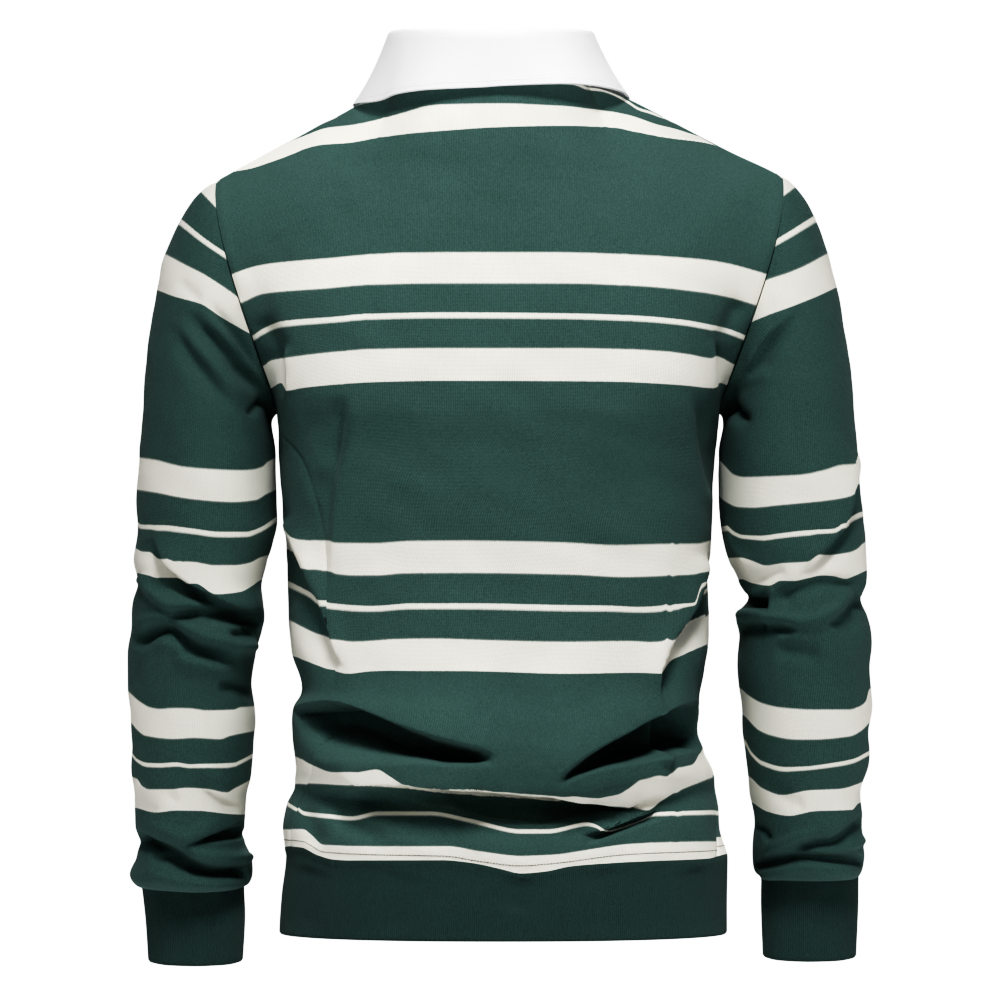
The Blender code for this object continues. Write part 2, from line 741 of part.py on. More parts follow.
def wall_mesh(patch, normals):
    """Return a closed wall: the patch's outer face, its inner face and the rims."""
    count = len(patch.rows[0])
    cells = face_loops(patch)
    used = {index for cell in cells for index in cell}
    mesh = bmesh.new()
    outer, inner = {}, {}
    for r, row in enumerate(patch.rows):
        for c, point in enumerate(row):
            index = r * count + c
            if index not in used:
                continue
            place = pulled_back(patch.rows, r, c, patch.closed)
            outer[index] = mesh.verts.new(place * MM)
            inner[index] = mesh.verts.new((place - normals[key_of(point)] * patch.wall) * MM)
    edges = {}
    for cell in split_cells(cells, outer):
        mesh.faces.new([outer[i] for i in cell])
        mesh.faces.new([inner[i] for i in reversed(cell)])
        for a, b in zip(cell, cell[1:] + cell[:1]):
            if (b, a) in edges:
                del edges[(b, a)]
            else:
                edges[(a, b)] = True
    for a, b in edges:
        # cut each rim face from its higher outer corner, so that both pieces agree
        if outer[a].co.z >= outer[b].co.z:
            mesh.faces.new((outer[b], outer[a], inner[b]))
            mesh.faces.new((outer[a], inner[a], inner[b]))
        else:
            mesh.faces.new((outer[b], outer[a], inner[a]))
            mesh.faces.new((outer[b], inner[a], inner[b]))
    return mesh


# ================================================================ the object
def make_material(name):
    """Return a Principled material in one of the garment's colours."""
    material = bpy.data.materials.new(name)
    material.use_nodes = True
    shader = material.node_tree.nodes["Principled BSDF"]
    shader.inputs["Base Color"].default_value = COLOURS[name]
    shader.inputs["Metallic"].default_value = 0.0
    shader.inputs["Roughness"].default_value = 0.35 if name == "button" else 0.85
    return material


def add_object(name, mesh, material, collection):
    """Add one named piece to the collection."""
    data = bpy.data.meshes.new(name)
    mesh.to_mesh(data)
    mesh.free()
    data.materials.append(material)
    data.shade_smooth()
    data.set_sharp_from_angle(angle=math.radians(50))
    piece = bpy.data.objects.new(name, data)
    collection.objects.link(piece)
    return piece


def slit_cells():
    """Return the front panel's cells left out behind the placket."""
    columns = len(panel_shares()) - 1
    middle = columns // 2
    first_row = None
    for step in range(YOKE_ROWS + 1):
        drop = neck_point(-1, 0.0).z - yoke_point(-1, 0.0, step / YOKE_ROWS).z
        if drop <= PLACKET_LENGTH - 14.0:
            first_row = len(body_places()) - 1 + step
            break
    last_row = len(body_places()) - 1 + YOKE_ROWS
    return {(r, middle + offset) for r in range(first_row, last_row)
            for offset in (-1, 0)}


def garment_patches():
    """Return the knitted pieces, which share their seams."""
    return [
        Patch("back_panel", panel_grid(+1), False, JERSEY_WALL, "jersey", False, ()),
        Patch("front_panel", panel_grid(-1), False, JERSEY_WALL, "jersey", False, ()),
        Patch("sleeve_left", sleeve_grid(1.0, ARM_LEFT, CREASES_LEFT), True,
              JERSEY_WALL, "jersey", True, ()),
        Patch("sleeve_right", sleeve_grid(-1.0, ARM_RIGHT, CREASES_RIGHT), True,
              JERSEY_WALL, "jersey", False, ()),
        Patch("cuff_left", cuff_grid(1.0, CUFF_LEFT), True, RIB_WALL, "rib", True, ()),
        Patch("cuff_right", cuff_grid(-1.0, CUFF_RIGHT), True, RIB_WALL, "rib", False, ()),
        Patch("hem_band", hem_grid()[::-1], True, RIB_WALL, "rib", False, ()),
    ]


def trim_patches():
    """Return the woven pieces, which lie on or above the knitted ones."""
    outer_lift = SEAM_GAP + TWILL_WALL
    inner_lift = -(JERSEY_WALL + SEAM_GAP)
    return [
        Patch("collar_stand", stand_grid(), False, TWILL_WALL, "twill", False, ()),
        Patch("collar_fall", leaf_grid(), False, TWILL_WALL, "twill", True, ()),
        Patch("placket_upper", placket_grid(outer_lift), False, TWILL_WALL, "twill", False, ()),
        Patch("placket_under", placket_grid(inner_lift), False, TWILL_WALL, "twill", False, ()),
    ]


def main():
    """Build the shirt."""
    for piece in list(bpy.data.objects):
        bpy.data.objects.remove(piece, do_unlink=True)
    collection = bpy.data.collections.new(COLLECTION_NAME)
    bpy.context.scene.collection.children.link(collection)
    materials = {name: make_material(name) for name in COLOURS}

    knitted = garment_patches()
    normals = pooled_normals(knitted)
    slit = slit_cells()
    for patch in knitted:
        if patch.name == "front_panel":
            patch = patch._replace(skip=slit)
        add_object(patch.name, wall_mesh(patch, normals), materials[patch.finish], collection)
    for patch in trim_patches():
        mesh = wall_mesh(patch, pooled_normals([patch]))
        add_object(patch.name, mesh, materials[patch.finish], collection)
    button_lift = 2 * SEAM_GAP + TWILL_WALL
    for number, drop in enumerate(BUTTON_DROPS, start=1):
        add_object(f"button_{number}", button_mesh(drop, button_lift), materials["button"], collection)


if __name__ == "__main__":
    main()
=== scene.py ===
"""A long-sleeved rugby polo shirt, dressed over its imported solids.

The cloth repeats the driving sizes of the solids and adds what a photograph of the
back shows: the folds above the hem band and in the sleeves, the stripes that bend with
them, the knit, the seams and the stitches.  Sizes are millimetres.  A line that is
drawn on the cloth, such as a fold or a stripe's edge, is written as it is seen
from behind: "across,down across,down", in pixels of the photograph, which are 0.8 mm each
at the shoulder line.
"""

from __future__ import annotations

import json
import logging
import math
from dataclasses import dataclass, field
from enum import Enum
from functools import partial

import bmesh
import bpy
import numpy as np
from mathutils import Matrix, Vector

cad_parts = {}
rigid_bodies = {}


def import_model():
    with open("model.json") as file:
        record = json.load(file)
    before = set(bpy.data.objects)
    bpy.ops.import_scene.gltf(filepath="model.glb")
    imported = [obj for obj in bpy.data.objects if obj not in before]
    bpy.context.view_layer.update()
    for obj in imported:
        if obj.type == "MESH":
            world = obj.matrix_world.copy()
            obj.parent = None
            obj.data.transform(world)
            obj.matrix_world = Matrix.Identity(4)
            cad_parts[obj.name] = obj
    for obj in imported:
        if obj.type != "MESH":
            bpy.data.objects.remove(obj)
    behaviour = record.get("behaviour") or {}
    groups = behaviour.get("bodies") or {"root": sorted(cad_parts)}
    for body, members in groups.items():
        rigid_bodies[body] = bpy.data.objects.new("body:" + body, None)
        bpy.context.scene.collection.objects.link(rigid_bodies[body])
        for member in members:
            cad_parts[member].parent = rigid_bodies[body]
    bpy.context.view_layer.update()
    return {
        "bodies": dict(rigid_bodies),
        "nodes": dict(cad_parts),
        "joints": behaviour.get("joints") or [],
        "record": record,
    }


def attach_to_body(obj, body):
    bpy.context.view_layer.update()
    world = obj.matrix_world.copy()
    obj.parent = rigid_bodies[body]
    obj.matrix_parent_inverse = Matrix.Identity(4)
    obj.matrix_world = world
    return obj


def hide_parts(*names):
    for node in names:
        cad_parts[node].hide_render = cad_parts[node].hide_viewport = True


Array = np.ndarray
Socket, Tree = bpy.types.NodeSocket, bpy.types.NodeTree

MM = 0.001
PIXEL = 0.8                   # millimetres to a pixel, at the shoulder line
MIDDLE_ACROSS = 500.0         # the pixel column of x = 0
ORIGIN_DOWN = 88.0            # the pixel row of z = 0
EYE_BACK = 5000.0             # the camera stands this far behind the wearer
EYE_HEIGHT = -330.0

JERSEY_WALL = 1.6
TWILL_WALL = 1.8
RIB_WALL = 2.4
BODY = "root"
CUT_MAP = "cut"               # the map that says where each point lies in the cut
LEVEL_SHARE = 0.32            # how much of a leaning surface's rise its folds keep
SEAM_DIP = 0.9                # how deep a seam draws the cloth in
SEAM_SOFT = 2.6               # and how far beside it
AMBIENT = 0.036               # the white room's light on the cloth

# The contrast of a studio print: deep shadows and soft whites, from linear to linear.
TONES = ((0.01, 0.0022), (0.03, 0.0125), (0.05, 0.029), (0.08, 0.063), (0.11, 0.105), (0.16, 0.195),
         (0.25, 0.39), (0.35, 0.55), (0.45, 0.67), (0.60, 0.79), (0.75, 0.88), (0.88, 0.955))

LOG = logging.getLogger("rugby_polo")


# ================================================================ shared sizes
# Rings round the body: heights at back, left, front, right; half widths; depths;
# squareness; where the side seams run, in degrees round from the centre back.
BODY_SECTIONS = np.array([
    (-622, -607, -618, -612, 172.0, 181.5, 108, 104, 2.3, 72, 68),
    (-604, -590, -600, -593, 173.0, 175.5, 110, 106, 2.3, 71, 77),
    (-585, -574, -583, -577, 170.0, 174.0, 106, 103, 2.3, 69, 79),
    (-569, -562, -567, -562, 165.0, 172.0, 97, 96, 2.3, 67, 80),
    (-561, -552, -560, -550, 164.0, 171.0, 112, 108, 2.3, 65, 81),
    (-556, -545, -555, -541, 163.0, 168.0, 124, 118, 2.3, 63, 81),
    (-545, -536, -546, -531, 164.0, 163.0, 128, 121, 2.35, 61, 82),
    (-525, -519, -526, -514, 166.0, 160.0, 129, 122, 2.35, 58, 82),
    (-497, -497, -499, -500, 165.5, 160.0, 127, 121, 2.35, 55, 82),
    (-478, -480, -480, -484, 158.0, 160.0, 125, 120, 2.35, 53, 82),
    (-447, -449, -448, -450, 167.0, 166.0, 122, 118, 2.35, 50, 82),
    (-392, -394, -392, -394, 170.0, 167.0, 119, 116, 2.4, 50, 84),
    (-339, -340, -339, -340, 174.0, 170.0, 120, 116, 2.45, 52, 86),
    (-300, -300, -300, -300, 175.5, 171.5, 122, 118, 2.6, 56, 89),
    (-281, -281, -281, -281, 176.5, 173.0, 123, 119, 2.75, 66, 91),
    (-262, -262, -262, -262, 178.0, 175.0, 125, 120, 3.0, 92, 92),
], float)
WAIST_PLACE = 9.0             # the cloth below this ring gets finer rows

SHOULDER_TIP = {1: (228.0, -8.0, -75.0), -1: (-227.0, -8.0, -71.0)}
SHOULDER_SWELL = 55.0          # how the right shoulder seam swells beside the collar
NECK_CENTRE = 7.0
NECK_HALF_WIDTH = 78.0
NECK_SHARE = 0.36
NECK_SEAM_Y = -4.0
NECK_BACK_DEPTH = 62.0
NECK_BACK_RISE = 6.0
NECK_FRONT_DEPTH = 66.0
NECK_FRONT_DROP = 60.0
NECK_FULL = 0.9               # below 1 the neckline is fuller than a plain oval
NECK_SCOOP = 1.5              # above 1 its front dips late
SHOULDER_BOW = 1.06           # above 1 the shoulder seams bow upwards

# How a panel leaves the armpit ring: depths of the first handles at the centre and the
# armhole, and how far they rise.
YOKE_HANDLES = {1: (130.0, 70.0, 75.0, 18.0), -1: (124.0, 62.0, 72.0, 18.0)}
YOKE_ROUNDNESS = 2.2
# The second handles, below the top edge: share across, x, depth, height.
YOKE_BLADES = {
    1: np.array([(0.00, 0, 93, -44), (0.18, 52, 91, -44), (0.36, 95, 84, -44),
                 (0.60, 150, 72, -57), (0.80, 194, 67, -84), (1.00, 231, 66, -122)], float),
    -1: np.array([(0.00, 0, 104, -118), (0.18, 46, 98, -100), (0.36, 90, 84, -74),
                  (0.60, 150, 66, -66), (0.80, 194, 58, -88), (1.00, 230, 57, -124)], float),
}

# Rings across the sleeve: height, outer and inner side, middle, half depth, tilt.
ARM_SECTIONS = {
    1: np.array([
        (-298, 288, 180.0, -2, 68, 0), (-330, 291, 178.8, -2, 68, 0), (-354, 290, 179, -1, 67, 0),
        (-378, 293, 186, 0, 65, 0), (-396, 289, 191, 1, 62, 1), (-411, 293, 190, 1, 63, 1),
        (-428, 294, 189, 0, 62, 2), (-452, 298, 195, -3, 61, 3), (-476, 298, 198, -6, 59, 4),
        (-500, 296, 196, -10, 57, 4), (-524, 295, 198, -14, 55, 5), (-548, 296, 200, -18, 53, 5),
        (-567, 294, 203, -22, 50, 6), (-588, 293, 205, -26, 48, 6), (-606, 291, 205, -29, 46, 6),
        (-618, 292, 201, -31, 46, 6), (-630, 297, 200, -33, 46, 6), (-637, 294, 202, -34, 41, 6),
        (-640, 289, 206, -34, 31, 6),
    ], float),
    -1: np.array([
        (-298, 286, 175.5, -2, 68, 0), (-330, 290, 174.6, -2, 68, 0), (-354, 292, 177, -1, 67, 0),
        (-378, 293, 183, 0, 65, 0), (-396, 293, 191, 1, 62, 1), (-409, 289, 198, 1, 60, 1),
        (-423, 294, 189.5, 0, 62, 2), (-440, 297, 192, -2, 62, 3), (-464, 296, 190, -5, 60, 4),
        (-490, 298, 193, -9, 58, 4), (-514, 296, 194, -13, 56, 5), (-540, 296, 198, -17, 53, 5),
        (-563, 290, 201, -22, 49, 6), (-584, 291, 205, -26, 48, 6), (-602, 292, 203, -29, 46, 6),
        (-618, 294, 203.5, -32, 45, 6), (-628, 292, 205, -33, 41, 6), (-632, 289, 210, -34, 31, 6),
    ], float),
}
ARM_FULL = 2.2
# The sleeve cap's handles: out, deep, down, lift, lean.
CAP_UNDER = np.array((9.0, 0.0, 2.0, 16.0, 0.0))
CAP_SIDE = np.array((26.0, 16.0, 6.0, 70.0, 0.0))
CAP_TOP = {1: np.array((40.0, 0.0, 23.0, 130.0, 5.0)), -1: np.array((31.0, 0.0, 19.0, 130.0, 7.0))}

CUFF_SECTIONS = {
    1: np.array([(-640, 289, 206, -34, 31, 6), (-645, 287.5, 206.5, -34.5, 30, 6),
                 (-668, 285, 206, -36.5, 29, 6), (-701, 283, 208, -39.5, 28, 6)], float),
    -1: np.array([(-632, 289, 210, -34, 31, 6), (-637, 288.3, 210.8, -34.5, 30, 6),
                  (-660, 288, 211, -36.5, 29, 6), (-697.5, 286.5, 212.5, -39.5, 28, 6)], float),
}

# The hem band: share down, half widths left and right, depths back and front.
BAND_SECTIONS = np.array([(0.00, 172.0, 181.5, 108, 104), (0.12, 170.5, 181.5, 107, 103),
                          (0.55, 174.0, 181.0, 107, 103), (1.00, 176.0, 181.0, 106, 102)], float)
BAND_EDGE_HEIGHT = -676.0
# Where the worn hem seam shows from behind.
HEM_SEAM_LINE = ("276,846 301,848 317,855.5 333,860 350,861 442,861 474,864 502,870 521,874 546,872 "
                 "571,867 608,864 646,862 709,859 717,857 730,853")
HEM_SEAM_FADE = 16.0          # how far above the seam the body still follows it

# The collar leaf's outer edge and its fold: degrees from the centre back, then places.
LEAF_EDGE = np.array([(0, 0, 82, -3), (35, 60, 74, -3), (65, 96, 46, -6), (90, 111, 6, -11),
                      (118, 109, -38, -17), (150, 94, -82, -46), (180, 62, -114, -108)], float)
FOLD_HEIGHTS = np.array([(0, 36.0, 3.0), (40, 37.5, 2.5), (72, 38.8, 2.0), (92, 37.0, 1.5),
                         (120, 17.0, 1.0), (150, -14.0, 1.0), (180, -38.0, 0.5)], float)
FOLD_PROFILE = ((-1.8, 0.3), (-1.5, 3.0), (1.2, 4.5), (4.2, 3.4), (6.2, -1.0))
# How the worn leaf's edge lies off its even line: degrees, left positive, then up and in.
LEAF_SLANT = np.array([(-180, 0.0, 0), (-125, 0.0, 0), (-92, 4.6, 4), (-65, 3.4, 10), (-35, 1.2, 10),
                       (0, -1.3, 10), (35, -3.8, 10), (52, -4.8, 11), (68, -6.9, 11), (92, -2.6, 4),
                       (125, 0.0, 0), (180, 0.0, 0)])
STAND_END_GAP = 1.2

PLACKET_GAP = 0.3             # between the strips and the front
PLACKET_HALF_WIDTH = 17.0
PLACKET_LENGTH = 150.0
BUTTON_DROPS = (18.0, 66.0, 114.0)
BUTTON_FACE = 3.2             # above the placket's strip


# ================================================================ small maths
def smooth(share: Array | float) -> Array:
    """Return a share between 0 and 1 that starts and ends level."""
    share = np.clip(share, 0.0, 1.0)
    return share * share * (3.0 - 2.0 * share)


def drawn(line: str) -> Array:
    """Return the points of a drawn line: pixels across and down."""
    return np.array([point.split(",") for point in line.split()], float)


def hermite(t: Array, start: Array, end: Array, leave: Array,
            arrive: Array) -> Array:
    """Return points of cubic curves between two points with given slopes."""
    t2, t3 = t * t, t ** 3
    return ((2 * t3 - 3 * t2 + 1) * start + (t3 - 2 * t2 + t) * leave
            + (3 * t2 - 2 * t3) * end + (t3 - t2) * arrive)


def along(table: Array, places: Array) -> Array:
    """Return smooth values between a table's rows.

    Args:
        table: Rows of numbers.
        places: Fractional row numbers, of any shape.

    Returns:
        The rows at those places, as a last axis added to places.
    """
    last = len(table) - 1
    places = np.clip(places, 0.0, last)
    low = np.minimum(places.astype(int), last - 1)
    t = (places - low)[..., None]
    before, start, end, after = (table[np.clip(low + k, 0, last)] for k in (-1, 0, 1, 2))
    return hermite(t, start, end, (end - before) / 2.0, (after - start) / 2.0)


def looked_up(table: Array, values: Array) -> Array:
    """Return a table's rows at values of its first column."""
    return along(table, np.interp(values, table[:, 0], np.arange(len(table))))


def curve_through(x: Array, points: Array) -> Array:
    """Return the heights of a smooth curve that never swings past its points.

    Args:
        x: Where to read the curve.
        points: Its points, with x rising.

    Returns:
        The curve's values at x.
    """
    xs, ys = points[:, 0], points[:, 1]
    gaps = np.maximum(np.diff(xs), 1e-6)
    rises = np.diff(ys) / gaps
    before, after = rises[:-1], rises[1:]
    steady = before * after > 0.0
    inner = np.where(steady, 2.0 * before * after / np.where(steady, before + after, 1.0), 0.0)
    slopes = np.concatenate([rises[:1], inner, rises[-1:]])
    low = np.clip(np.searchsorted(xs, x) - 1, 0, len(xs) - 2)
    t = np.clip((x - xs[low]) / gaps[low], 0.0, 1.0)
    return hermite(t, ys[low], ys[low + 1], gaps[low] * slopes[low], gaps[low] * slopes[low + 1])


def rounded(turn: Array, full: Array | float) -> tuple[Array, Array]:
    """Return the two coordinates of a superellipse at an angle from its second axis."""
    across, deep = np.sin(turn), np.cos(turn)
    reach = (np.abs(across) ** full + np.abs(deep) ** full) ** (-1.0 / full)
    return across * reach, deep * reach


def bezier(p0: Array, p1: Array, p2: Array, p3: Array, t: Array) -> Array:
    """Return points of cubic Bezier curves; t is broadcast against the points."""
    k = 1.0 - t
    return p0 * k ** 3 + p1 * (3 * k * k * t) + p2 * (3 * k * t * t) + p3 * t ** 3


def stack(x: Array, y: Array, z: Array) -> Array:
    """Return points from three arrays that broadcast together."""
    return np.stack(np.broadcast_arrays(x, y, z), axis=-1).astype(float)


def unit(vectors: Array) -> Array:
    """Return vectors of length one."""
    return vectors / np.maximum(np.linalg.norm(vectors, axis=-1, keepdims=True), 1e-9)


def seen(points: Array) -> tuple[Array, Array]:
    """Return where points show in the photograph: pixels across and down."""
    nearer = EYE_BACK / (EYE_BACK - points[..., 1])
    across = MIDDLE_ACROSS - points[..., 0] * nearer / PIXEL
    height = EYE_HEIGHT + (points[..., 2] - EYE_HEIGHT) * nearer
    return across, ORIGIN_DOWN - height / PIXEL


WANDER_SEED = 11
WANDER_WAVES = 9
WANDER_LONGEST = 130.0
WANDER_SHORTEST = 26.0
WANDER_HEIGHT = 0.30
WANDER_FLATTER = 1.6          # how much closer the waves lie up the cloth than across it
WANDER_BEND = 1.4             # how far a wave's crest snakes


def wander(points: Array) -> Array:
    """Return the slight unevenness of worn cloth.

    Args:
        points: Points of the cloth.

    Returns:
        Millimetres outwards, for each point.
    """
    draws = np.random.default_rng(WANDER_SEED)
    total = np.zeros(points.shape[:-1])
    for share in np.linspace(0.0, 1.0, WANDER_WAVES):
        length = WANDER_LONGEST * (WANDER_SHORTEST / WANDER_LONGEST) ** share
        way = unit(draws.normal(size=3) * np.array((1.0, 1.0, WANDER_FLATTER)))
        turn = points @ way * (2.0 * math.pi / length) + draws.uniform(0.0, 2.0 * math.pi)
        bend = np.sin(points @ unit(draws.normal(size=3)) * (2.0 * math.pi / (2.3 * length)))
        total += WANDER_HEIGHT * (length / WANDER_LONGEST) ** 0.6 * np.sin(turn + WANDER_BEND * bend)
    return total


def grid_normals(points: Array, closed: bool, facing: int) -> Array:
    """Return the outward direction at each point of a grid.

    Args:
        points: Rows of points.
        closed: The rows are rings.
        facing: +1 where rows x columns point outwards, or -1.

    Returns:
        One unit vector for each point.
    """
    if closed:
        wrapped = np.concatenate([points[:, -1:], points, points[:, :1]], axis=1)
        around = (wrapped[:, 2:] - wrapped[:, :-2])
    else:
        around = np.gradient(points, axis=1)
    return unit(np.cross(np.gradient(points, axis=0), around)) * facing


def evened(grid: Array, passes: int) -> Array:
    """Return a grid's values eased across its columns; the outer columns stay."""
    grid = grid.copy()
    for _ in range(passes):
        grid[:, 1:-1] = (grid[:, :-2] + 2.0 * grid[:, 1:-1] + grid[:, 2:]) / 4.0
    return grid


def dipped(points: Array, normals: Array, distance: Array) -> Array:
    """Return points drawn in beside a seam that lies at a distance from each."""
    return points - normals * (SEAM_DIP * np.exp(-(distance / SEAM_SOFT) ** 2))[..., None]


def respaced(points: Array, parts: list[tuple[int, int, int]]) -> Array:
    """Return columns of cloth with their rows spaced evenly along the cloth.

    Args:
        points: Dense rows of points.
        parts: First and last dense row of each part, and the number of steps in it.

    Returns:
        The new rows of points.
    """
    steps = np.linalg.norm(np.diff(points, axis=0), axis=2)
    lengths = np.vstack([np.zeros(points.shape[1]), np.cumsum(steps, axis=0)])
    wanted = []
    for first, last, count in parts:
        shares = np.arange(count)[:, None] / count
        wanted.append(lengths[first] + (lengths[last] - lengths[first]) * shares)
    wanted = np.vstack(wanted + [lengths[parts[-1][1]]])
    rows = np.empty((len(wanted), points.shape[1], 3))
    for column in range(points.shape[1]):
        for axis in range(3):
            rows[:, column, axis] = np.interp(wanted[:, column], lengths[:, column],
                                              points[:, column, axis])
    return rows


# ================================================================ folds and stripes
class FoldKind(Enum):
    """What a fold is."""

    LAP = "cloth that hangs over a hollow on the right hand of its path"
    TROUGH = "a round hollow along its path"
    RIDGE = "a round swelling along its path"


Amount = float | tuple[float, ...]        # one size, or sizes at even steps along a path
STEPS_TO_A_POINT = 7                      # a path is drawn smooth in so many steps to a point
FACING_FROM, FACING_OVER = -0.08, 0.4     # a fold fades out where the cloth turns from its viewer
FOLD_REACH = 2.6                          # a fold is worked out as far as its reach, so many times


def varying(amount: Amount, place: Array) -> Array:
    """Return an amount at shares of its path."""
    if isinstance(amount, (int, float)):
        return np.full(place.shape, float(amount))
    steps = np.linspace(0.0, 1.0, len(amount))
    return curve_through(place, np.stack([steps, np.array(amount, float)], axis=-1))


@dataclass(frozen=True)
class Fold:
    """One fold, drawn along the line where it is seen from behind."""

    kind: FoldKind
    path: str
    depth: Amount                         # how far it goes in, or a ridge stands out
    left: float                           # its reach on the left hand of the path
    right: Amount                         # and on the right hand
    ends: tuple[float, float] = (0.3, 0.3)  # the shares of the path over which it comes and goes
    lip: float = 0.0                      # how far a lap's lip stands out
    hang: float = 0.0                     # and slips over the hollow
    edge: Amount = 3.0                    # how soft the lip is
    rise: Amount = 0.0                    # if given, how wide a lap's hollow rises at its end

    def shifts(self, across: Array, down: Array) -> tuple[Array, ...]:
        """Return how the fold moves points.

        Args:
            across: Pixels across of each point, one axis.
            down: Pixels down of each point.

        Returns:
            The outward move, and the moves along X and Z, in millimetres.
        """
        points = drawn(self.path)
        last = len(points) - 1
        line = along(points, np.linspace(0, last, STEPS_TO_A_POINT * last + 1))
        nearest = np.full(across.shape, np.inf)
        offset, place = np.zeros(across.shape), np.zeros(across.shape)
        aside = np.zeros(across.shape + (2,))
        pieces = len(line) - 1
        for index in range(pieces):
            step = line[index + 1] - line[index]
            length = max(math.hypot(*step), 1e-6)
            from_a, from_d = across - line[index, 0], down - line[index, 1]
            t = np.clip((from_a * step[0] + from_d * step[1]) / length ** 2, 0.0, 1.0)
            gap = np.hypot(from_a - t * step[0], from_d - t * step[1])
            closer = gap < nearest
            nearest = np.where(closer, gap, nearest)
            sign = np.where(from_a * step[1] - from_d * step[0] >= 0.0, 1.0, -1.0)
            offset = np.where(closer, sign * gap, offset)
            place = np.where(closer, (index + t) / pieces, place)
            aside[closer] = (step[1] / length, -step[0] / length)
        offset = offset * PIXEL - self.hang
        strength = self.taper(place)
        out = self.outward(offset, place) * strength
        slip = self.slip(offset, place) * strength * self.hang
        return out, slip * aside[..., 0], slip * aside[..., 1]

    def taper(self, place: Array) -> Array:
        """Return the fold's strength along its path."""
        strength = np.ones(place.shape)
        for share, end in zip((place, 1.0 - place), self.ends):
            if end > 0.0:
                strength = strength * smooth(share / end)
        return strength

    def outward(self, offset: Array, place: Array) -> Array:
        """Return how far the fold moves the cloth outwards.

        Args:
            offset: Millimetres from the path, left hand positive.
            place: Shares of the way along it.

        Returns:
            Millimetres outwards, for each point.
        """
        depth, right, edge, rise = (varying(amount, place)
                                    for amount in (self.depth, self.right, self.edge, self.rise))
        reach = np.where(offset >= 0.0, self.left, right)
        if self.kind is not FoldKind.LAP:
            sign = 1.0 if self.kind is FoldKind.RIDGE else -1.0
            return sign * depth * np.exp(-(offset / reach) ** 2)
        lip = self.lip * np.exp(-(offset / np.where(offset >= 0.0, self.left, edge)) ** 2)
        inside = np.maximum(-offset, 0.0)
        fading = np.exp(-(np.maximum(inside - 2.0 * edge, 0.0) / right) ** 2)
        rising = 1.0 - smooth((inside - right) / np.maximum(rise, 0.1) + 1.0)
        floor = np.where(rise > 0.0, rising, fading)
        return lip - depth * smooth(inside / (2.0 * edge)) * floor

    def slip(self, offset: Array, place: Array) -> Array:
        """Return the share of the lip's hang at a distance from the path."""
        above = np.exp(-(np.maximum(offset, 0.0) / (0.6 * self.left)) ** 2)
        return np.where(offset >= 0.0, above, smooth(1.0 + offset / varying(self.edge, place)))


def folded(points: Array, outward: Array, folds: list[Fold], side: int,
           hold: Array | float = 1.0) -> Array:
    """Return a surface moved by its folds.

    Args:
        points: Points of the smooth surface.
        outward: The way that folds stand out, at each point.
        folds: The folds of this side.
        side: +1 for the side seen from behind, -1 for the front.
        hold: A share for each point, 0 where a seam holds the cloth still.

    Returns:
        The moved points.
    """
    across, down = seen(points)
    facing = smooth((side * outward[..., 1] - FACING_FROM) / FACING_OVER) * hold
    moved = points.copy()
    for fold in folds:
        line = drawn(fold.path)
        widest = max(fold.left, np.max(fold.right))
        reach = (FOLD_REACH * widest + 2.0 * np.max(fold.edge) + fold.hang) / PIXEL
        low, high = line.min(axis=0) - reach, line.max(axis=0) + reach
        near = ((across > low[0]) & (across < high[0]) & (down > low[1]) & (down < high[1])
                & (facing > 0.0))
        if not near.any():
            continue
        out, slip_x, slip_z = fold.shifts(across[near], down[near])
        share = facing[near]
        moved[near] += outward[near] * (out * share)[:, None]
        moved[near] += stack(slip_x * share, np.zeros(len(share)), slip_z * share)
    return moved


class StripeChart:
    """Where the knitted stripes run on one piece, from the top one down."""

    def __init__(self, courses: dict[float, str]) -> None:
        """Keep each course's height in the cloth and the line where it is seen; none cross."""
        self.values = np.array(list(courses), float)
        self.lines = [drawn(line) for line in courses.values()]

    def plain(self) -> StripeChart:
        """Return a chart whose courses run straight, from their second point to the last but one."""
        chart = StripeChart({})
        chart.values, chart.lines = self.values, [line[[1, -2]] for line in self.lines]
        return chart

    def heights(self, across: Array, down: Array) -> Array:
        """Return the height in the cloth, in millimetres, of points seen at a place.

        Args:
            across: Pixels across of each point.
            down: Pixels down of each point.

        Returns:
            Millimetres up the cut, from the hem or the cuff seam.
        """
        values = self.values
        rows = np.stack([curve_through(across, line) for line in self.lines])
        above = np.clip((rows <= down).sum(axis=0) - 1, 0, len(values) - 2)
        top = np.take_along_axis(rows, above[None], axis=0)[0]
        bottom = np.take_along_axis(rows, above[None] + 1, axis=0)[0]
        share = (down - top) / np.maximum(bottom - top, 0.2)
        inner = values[above] + (values[above + 1] - values[above]) * share
        over = values[0] + (rows[0] - down) * PIXEL
        under = values[-1] - (down - rows[-1]) * PIXEL
        return np.where(down < rows[0], over, np.where(down > rows[-1], under, inner))


lap, trough, ridge = (partial(Fold, kind) for kind in (FoldKind.LAP, FoldKind.TROUGH, FoldKind.RIDGE))

